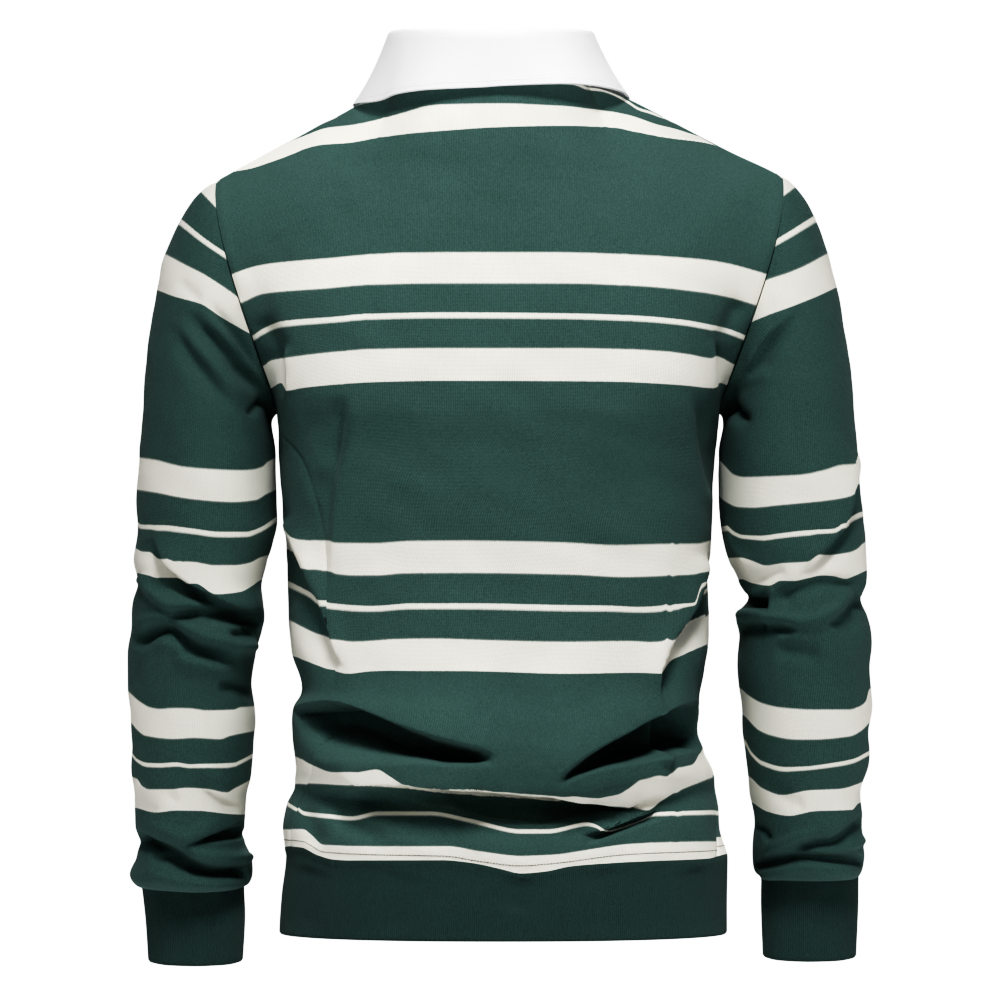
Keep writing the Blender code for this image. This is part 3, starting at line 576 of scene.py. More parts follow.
# The folds by the side they are seen from: +1 behind, -1 in front.
BODY_FOLDS = {1: [
    # the loose waist swells out above the hollows
    trough("285,655 340,662 400,672 500,686 560,688 620,678 660,668 710,655", 8, 100, 34, (0.25, 0.25)),
    # the two deep hollows above the hem, under the loose waist
    lap("290,709 303,705 318,702 333,701 350,705.5 370,713 388,720 404,726 420,731 436,736 452,740 468,744 "
        "484,748 502,754", (12, 23, 32, 35, 35, 34, 32, 31, 30, 28, 26, 22, 15, 7), 26,
        (44, 49, 52, 53, 51, 46, 39, 32, 27, 23, 21, 18, 15, 11), (0.1, 0.12), 3, 0,
        (3.5, 3, 3, 2.5, 2.5, 3, 3.5, 4, 4.5, 5, 5, 5, 5, 4),
        (32, 34, 35, 35, 33, 28, 20, 13, 9, 6, 5, 5, 5, 5)),
    lap("554,779 565,771 580,760 596,750 612,741 628,733 644,724 656,718 666,713 680,706 692,702 702,700",
        (3, 8, 15, 22, 29, 33, 35, 35, 35, 30, 14, 4), 24, (8, 9, 14, 18, 23, 28, 33, 36, 38, 41, 38, 34),
        (0.15, 0.15), 3, 0, (3, 3, 3.5, 3.5, 3.5, 3, 3, 3, 3, 2.5, 3, 4),
        (4, 4, 4, 4, 5, 8, 10, 12, 13, 12, 12, 12)),
    # the roll turns under, then its lower edge hangs over the hem
    trough("462,800 500,802 540,806 580,810", 8.5, 19, 6),
    trough("392,793 430,797 470,800 510,802", 3, 8, 6),
    trough("556,808 590,812 625,815", 3, 8, 6),
    lap("338,786 356,786.5 372,786 388,785.5 404,786.5 420,788 436,789 452,791 468,792 484,793 500,795 "
        "520,797 540,800 560,802 580,803.5 596,804 612,807 628,809 646,810",
        (3, 7, 11, 13, 14, 14, 15, 16, 16, 16, 16, 16, 16, 16, 14, 10, 7, 5, 3), 14,
        (9, 10, 13, 17, 19, 20, 22, 23, 26, 28, 29, 29, 28, 25, 18, 14, 12, 10, 9), (0.06, 0.06), 1, 8, 3,
        5),
    lap("580,840 596,834 612,828 628,822 644,816 662,812", 7, 9, 12, (0.3, 0.2), 2.0, 4, 2.0, 4),
    # soft hollows in the skirt, left of the centre
    trough("299,797 309,826 324,850", 4, 9, 8, (0.4, 0.3)),
    trough("328,814 352,825 392,846", 4, 9, 8, (0.35, 0.3)),
    trough("352,789 385,796 430,806", 6, 5, 8, (0.4, 0.3)),
    # the sloping crease and the seam's ridge on the left
    lap("281,518 290,540 302,568 310,588 318,602 328,637 334,657 345,672", 8, 9, 13, (0.08, 0.3), 2.5, 2),
    lap("352,395 350,421 343,465 337,492 333,540 331,600", 4.5, 12, 18, (0.2, 0.3), 1.5, 0, 4.0),
    # the ridge and the overlapping fold on the right
    lap("712,505 707,493 699,468 694,442 691,416 684,392", 4.5, 12, 14, (0.2, 0.3), 1.2, 0, 4.0),
    lap("667,712 664,690 664,674 667,663 676,640 688,622 697,604 706,574 710,556", 10, 13, 11, (0.25, 0.12),
        3, 3, 2.5),
    # pleats that run into the right hollow
    ridge("670,712 670,735 666,770", 15, 4.5, 5, (0.25, 0.4)),
    trough("683,712 682,733 680,756", 6, 4.5, 4.5),
    # tucks at the armpits
    lap("283,346 287,368 286,400", 5, 7, 14, (0.3, 0.3), 1.2, 0.5, 2.0),
    lap("719,398 716,372 714,340", 5, 7, 14, (0.3, 0.3), 1.2, 0.5, 2.0),
    trough("258,318 272,338 281,358", 3.5, 8, 8),
    trough("743,300 731,322 722,350", 3.5, 8, 8),
    # the upper back
    trough("300,174 400,167 520,170 660,178", 1.6, 14, 16),
    trough("360,212 470,204 580,208", 0.9, 14, 16),
    trough("450,420 455,520 470,610", 1.4, 26, 26),
    trough("600,430 605,520 600,600", 1.2, 26, 26),
], -1: [
    lap("300,708 345,702 392,718 440,742 480,752", 21, 28, 24, (0.06, 0.14), 6, 5, 4.5),
    lap("530,776 575,752 630,728 700,702", 22, 28, 24, (0.14, 0.06), 6, 5, 4.5),
    lap("320,782 400,786 500,790 600,788 690,780", 11, 15, 16, (0.2, 0.2), 2, 7, 4.0),
    trough("292,372 330,410 352,470", 4, 10, 14),
    trough("708,372 672,410 655,470", 4, 10, 14),
    trough("420,480 410,560 430,660", 2.5, 26, 22),
    trough("585,500 600,580 580,680", 2.5, 22, 26),
    trough("350,815 372,835 380,850", 4, 8, 8),
    trough("640,812 622,832 610,850", 4, 8, 8),
]}

# The sleeves' folds: +1 for the wearer's left or -1 for the right, then the side as above.
SLEEVE_FOLDS = {(1, 1): [
    # from the armpit across the upper arm
    trough("205,302 222,320 240,343 251,360 264,380", 5.5, 5, 5),
    ridge("200,308 221,331 239,353 252,370 268,388", 5, 5, 6),
    trough("182,306 200,329 216,344 232,360 246,377 264,391", 7, 6, 6),
    ridge("170,315 190,342 208,364 224,382 240,393 264,397", 4, 8, 8),
    trough("166,320 180,341 193,358 206,374 220,392 234,408", 6, 6, 8),
    trough("248,418 264,400", 4, 4, 4),
    trough("176,282 190,292 203,306", 2, 5, 5),
    # the elbow
    lap("150,536 163,560 174,572 189,584 214,597 240,608 264,613", 13, 11, 9, (0.2, 0.1), 3.5, 2.5, 2.5),
    ridge("139,574 150,590 160,600 172,606 190,606 216,604", 5.5, 4, 4, (0.1, 0.3)),
    trough("166,618 190,615 215,616 240,617 262,622", 12, 5, 6, (0.25, 0.0)),
    ridge("170,619 188,629 205,637 222,642 240,646 258,645", 6.5, 5, 6, (0.2, 0.1)),
    trough("228,634 246,635 260,630", 8, 4, 4, (0.4, 0.3)),
    trough("132,645 150,634 166,630 180,637 197,649 222,655 242,667", 10, 5, 6, (0.1, 0.3)),
    ridge("134,624 150,620 168,621", 3, 5, 5),
    ridge("150,641 170,645 188,650", 2.5, 4, 5),
    ridge("172,660 200,664 236,675", 5, 5, 7),
    trough("218,682 252,690", 6, 5, 7, (0.4, 0.0)),
    trough("140,650 136,675 137,690", 3, 5, 5),
    # the forearm
    ridge("194,764 212,778 232,792", 3, 5, 5),
    trough("203,788 222,798 243,809", 3, 4, 5),
    trough("136,780 148,800 157,813", 2.5, 4, 4),
    trough("163,790 180,804", 2, 4, 4),
    # above the cuff
    ridge("140,816 160,828 184,838 205,829 228,816", 3.5, 6, 6),
    trough("131,836 150,846 170,853 192,866 214,873 249,872", 14, 4.5, 5, (0.05, 0.05)),
    trough("147,857 166,860 182,869 206,876", 8, 3.5, 3.5),
    lap("178,846 200,838 222,830 246,821", 13, 6, (2, 6, 11, 16), (0.15, 0.2), 1, 0, 2.5, 5),
    ridge("184,851 214,856 246,857", 6, 4, 5, (0.3, 0.0)),
    ridge("140,868 168,880 200,885 244,882", 3, 5, 5, (0.2, 0.2)),
], (1, -1): [
    trough("262,380 240,372 212,350 190,320", 6, 7, 8),
    trough("266,410 240,412 205,398", 4, 7, 7),
    lap("270,560 235,575 195,590 150,600", 9, 9, 10, (0.1, 0.3), 3, 2),
    trough("140,625 180,634 225,628 262,615", 7, 6, 8, (0.1, 0.1)),
    trough("256,655 215,668 160,662", 5, 7, 8),
    trough("140,745 190,756 250,740", 3, 8, 8),
    trough("132,842 170,850 215,842 246,832", 9, 5, 7, (0.05, 0.05)),
    trough("250,868 205,872 160,864", 7, 5, 6, (0.05, 0.3)),
], (-1, 1): [
    # from the armpit across the upper arm
    lap("737,382 748,366 756,352 765,338 782,322 800,306", 6, 9, 9, (0.35, 0.4), 3.5, 1.5, 4.0),
    ridge("741,383 756,377 770,371", 2, 4, 5),
    trough("718,402 735,413 752,426", 7, 5, 6, (0.0, 0.4)),
    trough("724,380 729,395 728,410", 5, 5, 5),
    # the elbow
    lap("788,582 804,569 815,560 824,551 834,540 843,529 848,519 853,500 857,470 858,448", 6, 10, 9,
        (0.25, 0.1), 3, 1.5, 2.5),
    ridge("725,516 731,544 742,558 748,571", 2.5, 3, 3),
    trough("750,581 768,577 787,569", 4, 5, 5),
    ridge("736,583 748,592 768,597", 4, 4, 3, (0.1, 0.3)),
    trough("738,600 752,603 771,604", 12, 4, 4, (0.0, 0.25)),
    ridge("771,586 773,600 771,614", 4, 3, 3),
    ridge("734,616 750,612 760,615 779,619 804,621 823,616 836,608 846,596 860,587", 5.5, 5, 6,
          (0.05, 0.15)),
    trough("777,603 790,592 804,588 827,583 862,585", 6, 5, 8, (0.2, 0.1)),
    trough("738,628 760,628 779,628 799,633", 7, 5, 6, (0.05, 0.3)),
    trough("830,629 848,614 863,597", 6, 5, 8, (0.3, 0.05)),
    ridge("774,639 800,637", 2, 5, 5),
    trough("774,647 798,652 824,658", 4, 7, 8),
    trough("846,640 856,625 864,612", 3, 5, 5),
    # the forearm
    trough("768,786 790,802 806,806", 2.5, 6, 6),
    # above the cuff
    ridge("760,853 782,844 796,838 820,830", 5, 4, 5),
    trough("786,850 815,846 840,841 862,824", 8, 5, 4.5, (0.25, 0.0)),
    ridge("786,855 816,851 842,849 864,840", 4, 3.5, 3.5, (0.3, 0.0)),
    trough("752,865 775,861 796,858 830,859 862,861", 9, 3.5, 4.5, (0.0, 0.0)),
    ridge("758,877 788,870 803,866 830,869 860,873", 4, 4, 6, (0.1, 0.1)),
    trough("754,824 764,832 769,842", 5, 3, 3),
], (-1, -1): [
    trough("738,378 762,370 790,348 812,318", 6, 8, 7),
    trough("730,408 762,410 800,396", 4, 7, 7),
    lap("730,565 768,580 810,592 858,598", 9, 9, 10, (0.1, 0.3), 3, 2),
    trough("862,625 820,636 775,628 740,612", 7, 6, 8, (0.1, 0.1)),
    trough("744,655 790,668 845,660", 5, 7, 8),
    trough("864,745 810,756 752,742", 3, 8, 8),
    trough("866,838 830,848 785,842 756,830", 9, 5, 7, (0.05, 0.05)),
    trough("758,866 800,870 850,860", 7, 5, 6, (0.05, 0.3)),
]}

BAND_FOLDS = {1: [
    trough("312,866 304,900 300,940", 2.5, 14, 10, (0.2, 0.3)),
    trough("404,872 396,905 400,938", 1.4, 18, 18, (0.2, 0.3)),
    trough("522,876 516,895 512,915", 2.2, 10, 10, (0.2, 0.3)),
    trough("598,868 606,900 602,938", 1.4, 16, 18, (0.2, 0.3)),
    trough("694,866 702,900 707,940", 2.5, 10, 14, (0.2, 0.3)),
], -1: [
    trough("390,866 398,900 394,938", 1.8, 16, 16, (0.2, 0.3)),
    trough("610,866 602,900 606,938", 1.8, 16, 16, (0.2, 0.3)),
]}

# The courses where yarns change: height in the cloth, then the line where each is seen.
BACK_STRIPES = StripeChart({
    750.5: "300,134 336,113 353,105 364,101.5 376,97.5 392,91 430,80 570,82 588,88 601,89.5 611,92.5 "
           "621,97.5 629,102.3 639,109 650,112 659,115.5 720,132",
    746.5: "300,136 336,115.2 353,107.2 364,103.7 376,99.7 392,93.2 430,82.2 570,84.2 588,90.2 601,91.7 "
           "611,94.7 621,99.7 629,104.5 639,111.2 650,114.2 659,117.7 720,134.2",
    724.5: "200,168 291,141 303,136.5 328,128 349,126 379,120 408,112 427,106.5 440,105 500,104 560,106.5 "
           "594,110 631,116 656,124.7 675,129.3 698,137 790,164",
    697.5: "200,182 234,171.5 249,169 270,162.4 291,154.7 306,148.4 322,144.7 349,142.8 379,137.5 "
           "408,133.7 440,131 500,127 560,125.6 612,127.3 637,132 667,137.5 705,142 723,148.5 738,157 "
           "761,163.5 790,172",
    568.5: "215,283 235,273.3 255,266.6 274,263.4 331,258.4 370,254.8 408,253 500,252.6 560,252.8 631,255 "
           "700,259.5 723,262.8 757,271.4 780,279",
    541.5: "225,310 243,302.6 262,294.4 282,292 324,289 370,285.2 440,283.8 560,283.8 637,286.3 702,292.8 "
           "726,297.2 746,302.6 765,309",
    518.0: "235,347 254,335.5 264,328.8 283,321.7 331,317.7 370,314.4 440,313 560,313.9 637,316.4 "
           "684,320.6 713,325.9 728,329.4 737,332.6 755,340",
    492.0: "255,371 265,365.5 271,361 282,359 303,355.9 341,351.9 373,349.6 444,348.7 570,348.7 621,349.6 "
           "666,352 691,355.3 713,358.9 715,356.3 722,358.5 731,363.6 745,370",
    465.0: "260,393 271,388.2 282,382.7 286,390.8 303,387.8 341,384 373,382 444,380.6 570,381 621,381.7 "
           "659,383.4 691,385.9 713,388.2 718,386.6 719,382.7 726,384.6 745,391",
    336.0: "320,541 329,541.3 335,543.4 373,543.8 412,541.6 465,541.3 530,542.2 570,543.4 615,545.7 "
           "659,544.7 698,544.2 710,541 725,537",
    309.0: "320,570.6 331,572.1 335,574.2 354,575.9 376,575.9 405,573.8 465,573.4 570,575 624,577.6 "
           "659,576.6 706,573.8 725,569",
    285.5: "320,601 332,604 373,606.6 412,604.1 465,604 570,605.9 608,606.3 640,607.6 678,604.8 697,603.8 "
           "699,587 708,579.9 725,572",
    259.5: "318,639 331,639.7 354,642.3 393,639.8 431,639.1 500,641 570,642.3 628,641.6 653,642.7 "
           "667,641.4 676,639.5 688,622.2 708,613.6 725,607",
    232.5: "318,666 326,668.8 348,673.9 373,671.7 393,671 465,671.3 570,673.9 634,673 664,673.9 667,663.7 "
           "685,654.1 706,645.2 725,637",
    103.5: "282,757 295,757 311,765 334,773 356,773 377,770 388,776 404,786 441,790.5 483,792 537,795.8 "
           "594,799.5 617,796 630,788 642,780 651,778 661,776 668,778 674,770 693,765 701,751 712,742",
    76.5: "290,784 306,784 352,786 403,788 441,792.5 483,795 537,799.5 594,804.5 633,808.5 649,811.5 "
          "660,803 674,794 712,778 722,774",
    53.0: "280,795 291,800 304,812 330,815 352,817 378,812 429,812 473,820 521,830 547,830 588,823 600,827 "
          "607,832 620,829 636,823 646,818.5 652,814 660,812.5 677,812 717,811 726,811",
    49.0: "280,798.8 291,803.8 304,815.8 330,818.8 352,820.8 378,815.8 429,815.8 473,823.8 521,833.8 "
          "547,833.8 588,826.6 600,829.4 607,832.3 620,829.3 636,823.3 646,818.8 652,816.3 660,816.3 "
          "677,815.8 726,814.8",
    27.0: "278,830 303,829.5 312,836 323,845.5 378,847 448,847 480,852 521,856.5 556,855 590,850 623,845 "
          "660,843 717,842 728,842",
    0.0: "278,847 300,851 323,858 378,862 441,864 480,870 521,874 553,871 617,864 709,859 728,855",
})

FRONT_STRIPES = StripeChart({
    724.5: "215,176 300,152 400,148 600,148 700,152 785,176",
    697.5: "215,196 300,178 400,174 600,174 700,178 785,196",
    568.5: "215,278 260,270 400,262 600,262 740,270 780,280",
    541.5: "215,308 260,298 400,290 600,290 740,298 780,310",
    518.0: "230,340 270,330 400,322 600,322 730,330 765,342",
    492.0: "255,368 290,359 400,356 600,356 710,359 745,370",
    465.0: "260,391 290,387 400,386 600,386 710,388 745,392",
    336.0: "278,516 283,527.9 291,538.7 297,540.6 331,541.3 400,549 500,552 600,550 690,543 712,540",
    309.0: "278,546 284,548 293,551.5 302,569.3 321,570.6 333,572.1 400,580 500,583 600,581 690,574 "
           "712,571",
    285.5: "280,577 287,580.8 312,593.5 319,600.8 333,601.2 400,612 500,615 600,612 690,600 712,584",
    259.5: "283,618 289,620.3 301,626.7 314,633.1 328,637.6 334,640 400,645 500,648 600,645 690,628 "
           "712,612",
    232.5: "285,653 291,655.4 310,662.8 326,668.8 335,670.5 400,676 500,680 600,676 690,658 712,644",
    103.5: "282,756.5 295,757 311,765 334,773 350,776 400,784 500,788 600,786 650,778 712,744",
    76.5: "282,784 310,785 350,792 500,796 650,794 712,776",
    53.0: "280,797 304,812 350,820 500,826 650,820 722,811",
    27.0: "278,830 303,830 350,842 500,848 650,842 716,838 731,835",
    0.0: "278,847 303,852 350,860 500,866 650,860 731,853",
})

SLEEVE_STRIPES = {1: StripeChart({
    541.5: "170,160 201,192 218,210 250,245",
    518.0: "150,196 180,219 203,238 228,255 260,275",
    492.0: "140,243 166,255 186,265.7 203,274.3 224,287.7 242,300.5 275,322",
    465.0: "130,282 157,290 174,296.3 201,303.9 220,316.4 255,336.5 280,350",
    336.0: "130,457 141,458.3 157,460.7 169,464 185,467.4 212,469.7 239,470.7 252,470 263,466.7 267,462.7 "
           "278,457.3 290,452",
    309.0: "130,489 138,490.4 158,493.5 175,497 195,500 233,502.6 256,500.6 266,495 278,489.5 290,484",
    285.5: "130,519 137,522 141,525.3 167,526.1 189,528.7 221,532.5 246,532.5 259,528.7 273,519.8 282,513",
    259.5: "130,547 136,549 142,552 150,552.6 159,559.7 168,559.7 173,561.9 195,562.8 214,565.7 233,565.7 "
           "249,563.5 260,558 268,555.5 276,550",
    232.5: "128,571 136,572.7 148,575.3 157,577.8 177,577.8 189,583.9 195,583.5 216,594.4 240,592.1 "
           "253,585.5 259,581 270,576",
    103.5: "124,688 130,693.3 139,701.4 151,708.1 160,709.4 174,708.5 190,708.8 206,710.8 234,710.1 "
           "240,707.7 254,706.7 262,704",
    76.5: "126,719 132,724.2 137,730.2 145,736.2 174,739.6 194,738.5 220,739.8 231,736.2 251,732.2 260,730",
    53.0: "126,749 132,753.6 137,759.6 147,763.4 160,763.9 176,763 190,765 200,764.7 234,763.4 240,761 "
          "249,756.3 258,750",
    27.0: "125,776 131,777 137,779.1 142,786.4 149,789.8 170,789.8 187,788.2 207,789.4 227,792.9 234,789.1 "
          "250,780.4 258,776",
    0.0: "128,806 136,807.9 156,812.5 176,810.5 200,810.9 227,813.9 242,814.8 254,808",
    -78.0: "128,884 140,888 190,890 244,886 254,884",
}), -1: StripeChart({
    541.5: "745,225 779,199.7 797,186.3 830,160",
    518.0: "735,265 765,247 789,232.5 813,217.3 850,195",
    492.0: "725,304 753,288.6 767,280.4 788,273.3 805,266.2 826,254.8 860,238",
    465.0: "715,340 740,327.3 767,315.4 788,307.8 816,296.7 835,288 865,275",
    336.0: "712,454 721,462 735,475.5 744,477.5 800,475.5 824,470.8 841,465.7 856,464.5 858,455 870,450",
    309.0: "712,489 718,495.5 725,502 738,507.7 751,508.3 779,505.7 830,500.6 854,495.6 858,485 870,481",
    285.5: "714,524 721,527.4 727,526.1 733,531.3 743,535.7 760,536.4 779,534.2 804,531.3 835,529.3 "
           "843,524.2 848,523.5 849,519.8 857,514 864,511.7 875,506",
    259.5: "720,560 728,558.7 740,558 752,561.2 766,566.1 785,563.5 808,562.5 820,555.1 827,555.5 "
           "849,552.9 857,549.7 863,544 874,538",
    232.5: "728,583 736,580.1 741,579.3 753,583.5 769,585.7 781,580.6 794,581 804,579.1 823,575.3 "
           "832,575.9 846,578.8 853,576.5 867,570.2 876,566",
    103.5: "734,684 742,690 748,695.4 762,703.4 782,708.1 815,710.1 849,710.1 860,706.7 866,701.4 869,690 "
           "876,686",
    76.5: "736,710 744,716.1 759,730.8 772,736.2 793,740 810,740.2 850,736.9 861,731.5 870,722.8 876,718",
    53.0: "738,734 745,740.2 751,751.6 762,761.6 786,767.7 802,767.4 829,764.1 853,759.6 869,751.6 876,748",
    27.0: "744,773 752,779.1 762,788.4 782,795.5 809,790.8 840,789.4 856,785.1 869,779.1 876,776",
    0.0: "746,798 754,803.8 768,811.9 789,815.9 815,811.2 852,809.9 858,803.8 868,799",
    -78.0: "750,874 764,880 810,884 860,878 870,874",
})}


# ================================================================ the smooth forms
def body_points(places: Array, angles: Array) -> Array:
    """Return points round the body below the armholes.

    Args:
        places: Fractional rows of BODY_SECTIONS, one for each row of points.
        angles: Degrees from the centre back, rows by columns.

    Returns:
        The points, rows by columns.
    """
    rows = along(BODY_SECTIONS, places)[:, None, :]
    z_back, z_left, z_front, z_right, left, right, back, front, full = (rows[..., i] for i in range(9))
    turn = np.radians(angles)
    across, deep = rounded(turn, full)
    x = across * np.where(across > 0, left, right)
    y = deep * np.where(deep > 0, back, front)
    sides, ends = (z_left + z_right) / 2.0, (z_back + z_front) / 2.0
    z = ends + (sides - ends) * np.sin(turn) ** 2
    z = z + (z_left - z_right) / 2.0 * np.sin(turn) + (z_back - z_front) / 2.0 * np.cos(turn)
    return stack(x, y, z)


def seam_lift(seam: Array) -> Array:
    """Return how far the worn hem seam lies above its even line, in millimetres."""
    across, down = seen(seam)
    return (down - curve_through(across, drawn(HEM_SEAM_LINE))) * PIXEL * smooth(seam[:, 1] / 30.0)


def seam_angles(side: int, shares: Array, places: Array) -> Array:
    """Return the angles round the body at shares across a panel, rows by columns."""
    rows = along(BODY_SECTIONS, places)
    seam = np.where(shares[None, :] > 0, rows[:, 9:10], rows[:, 10:11])
    if side > 0:
        return shares[None, :] * seam
    return 180.0 - shares[None, :] * (180.0 - seam)


def neck_points(side: int, angles: Array) -> Array:
    """Return points of the neckline at degrees from the centre back or front."""
    turn = np.radians(angles)
    level = np.maximum(np.cos(turn), 0.0)
    x = NECK_CENTRE + NECK_HALF_WIDTH * np.sin(turn)
    if side > 0:
        return stack(x, NECK_SEAM_Y + NECK_BACK_DEPTH * level ** NECK_FULL, NECK_BACK_RISE * level)
    depth, drop = NECK_FRONT_DEPTH * level ** NECK_FULL, NECK_FRONT_DROP * level ** NECK_SCOOP
    return stack(x, NECK_SEAM_Y - depth, -drop)


def top_edge(side: int, shares: Array) -> Array:
    """Return points of a panel's top edge: neckline, then shoulder seam.

    Args:
        side: +1 for the back, -1 for the front.
        shares: Shares across the panel, -1 to 1, the wearer's left positive.

    Returns:
        One point for each share.
    """
    sign = np.where(shares >= 0, 1.0, -1.0)
    reach = np.abs(shares)
    neck = neck_points(side, np.clip(shares / NECK_SHARE, -1.0, 1.0) * 90.0)
    start = neck_points(side, sign * 90.0)
    tip = np.where(sign[:, None] > 0, SHOULDER_TIP[1], SHOULDER_TIP[-1])
    q = np.clip((reach - NECK_SHARE) / (1.0 - NECK_SHARE), 0.0, 1.0)
    powers = np.stack([q, q, q ** SHOULDER_BOW], axis=1)
    seam = start + (tip - start) * powers
    seam[:, 2] += np.where(sign > 0.0, 0.0, SHOULDER_SWELL) * q * (1.0 - q) ** 4
    return np.where((reach <= NECK_SHARE)[:, None], neck, seam)


def yoke_points(side: int, shares: Array, t: Array) -> Array:
    """Return points of a panel above the armpit, rows by columns; t runs up to the top edge.

    Args:
        side: +1 for the back, -1 for the front.
        shares: Shares across the panel, one for each column.
        t: Shares of the way up, one for each row.

    Returns:
        The points.
    """
    centre_depth, edge_depth, centre_rise, edge_rise = YOKE_HANDLES[side]
    reach = np.abs(shares)
    sign = np.where(shares >= 0, 1.0, -1.0)
    last = np.array([len(BODY_SECTIONS) - 1.0])
    start = body_points(last, seam_angles(side, shares, last))[0]
    end = top_edge(side, shares)
    depth = edge_depth + (centre_depth - edge_depth) * (1.0 - reach ** YOKE_ROUNDNESS)
    rise = centre_rise + (edge_rise - centre_rise) * reach ** 4
    first = stack(start[:, 0], side * depth, start[:, 2] + rise)
    blade = looked_up(YOKE_BLADES[side], reach)
    second = stack(NECK_CENTRE * (1.0 - reach) + sign * blade[:, 1], side * blade[:, 2], blade[:, 3])
    return bezier(start, first, second, end, t[:, None, None])


def arm_points(rows: Array, sign: int, turns: Array) -> Array:
    """Return rings of a sleeve or cuff; turns run from the near side through the back.

    Args:
        rows: Rows of a sleeve's or cuff's table.
        sign: +1 for the wearer's left, -1 for the right.
        turns: Angles from the side near the body through the back, one for each column.

    Returns:
        The points, rings by columns.
    """
    height, out, near, middle, depth, tilt = (rows[:, i:i + 1] for i in range(6))
    deep, inner = rounded(turns[None, :], ARM_FULL)
    y = deep * depth
    x = sign * ((out + near) / 2.0 - (out - near) / 2.0 * inner)
    return stack(x, middle + y, height - y * np.tan(np.radians(tilt)))


def armhole_points(sign: int, turns: Array) -> Array:
    """Return the armhole at the sleeve's turns, from the armpit up the back and down the front."""
    edge = np.array([float(sign)])
    climb = np.where(turns <= math.pi, turns, 2.0 * math.pi - turns) / math.pi
    back, front = (yoke_points(side, edge, climb)[:, 0] for side in (1, -1))
    return np.where((turns <= math.pi)[:, None], back, front)


def sleeve_points(sign: int, turns: Array, cap_rows: int, arm_places: Array) -> Array:
    """Return a sleeve's rings, from the armhole down to the cuff seam.

    Args:
        sign: +1 for the wearer's left, -1 for the right.
        turns: The angles round the arm.
        cap_rows: How many rings lead up to the first arm section.
        arm_places: Fractional rows of the arm's table.

    Returns:
        The points, rings by columns.
    """
    table = ARM_SECTIONS[sign]
    loop = armhole_points(sign, turns)
    first = arm_points(table[:1], sign, turns)[0]
    side = np.sin(turns)[:, None]
    top = smooth((1.0 - np.cos(turns)) / 2.0)[:, None]
    under = CAP_UNDER + (CAP_SIDE - CAP_UNDER) * np.abs(side)
    over = CAP_TOP[sign] + (CAP_SIDE - CAP_TOP[sign]) * np.abs(side)
    out, deep, down, lift, lean = (under + (over - under) * top).T
    leave = loop + stack(sign * out, deep * side[:, 0], -down)
    enter = first + stack(-sign * lean, np.zeros(len(turns)), lift)
    t = (np.arange(cap_rows) / cap_rows)[:, None, None]
    cap = bezier(loop, leave, enter, first, t)
    return np.concatenate([cap, arm_points(along(table, arm_places), sign, turns)])


def band_points(shares: Array, angles: Array) -> Array:
    """Return rings of the hem band, from its seam down, at degrees from the centre back.

    Args:
        shares: Shares of the way down, one for each ring.
        angles: Degrees from the centre back, one for each column.

    Returns:
        The points, rings by columns.
    """
    top = body_points(np.zeros(1), angles[None, :])[0]
    rows = looked_up(BAND_SECTIONS, shares)[:, None, :]
    across, deep = rounded(np.radians(angles), BODY_SECTIONS[0, 8])
    x = across * np.where(across > 0, rows[..., 1], rows[..., 2])
    y = deep * np.where(deep > 0, rows[..., 3], rows[..., 4])
    seam = top[:, 2] + seam_lift(top)
    z = seam + (BAND_EDGE_HEIGHT - seam) * shares[:, None]
    return stack(x, y, z)


def neck_ring(turns: Array) -> Array:
    """Return the whole neckline at degrees from the centre back, left positive."""
    back = neck_points(1, turns)
    front = neck_points(-1, np.copysign(180.0 - np.abs(turns), turns))
    ring = np.where((np.abs(turns) <= 90.0)[:, None], back, front)
    ring[:, 0] += np.where(np.abs(turns) >= 179.9, np.copysign(STAND_END_GAP, turns), 0.0)
    return ring


def outward_at_neck(turns: Array) -> Array:
    """Return the level directions away from the neck's middle."""
    angle = np.radians(turns)
    return unit(stack(np.sin(angle) * NECK_BACK_DEPTH, np.cos(angle) * NECK_HALF_WIDTH, 0.0 * angle))


def fold_line(turns: Array) -> Array:
    """Return the collar's fold, at the top of the stand."""
    rows = looked_up(FOLD_HEIGHTS, np.abs(turns))
    line = neck_ring(turns) - outward_at_neck(turns) * rows[:, 2:3]
    line[:, 2] = rows[:, 1]
    return line


# ================================================================ cloth meshes
def placed(name: str, data: bpy.types.ID) -> bpy.types.Object:
    """Return a new object of the scene."""
    thing = bpy.data.objects.new(name, data)
    bpy.context.scene.collection.objects.link(thing)
    return thing


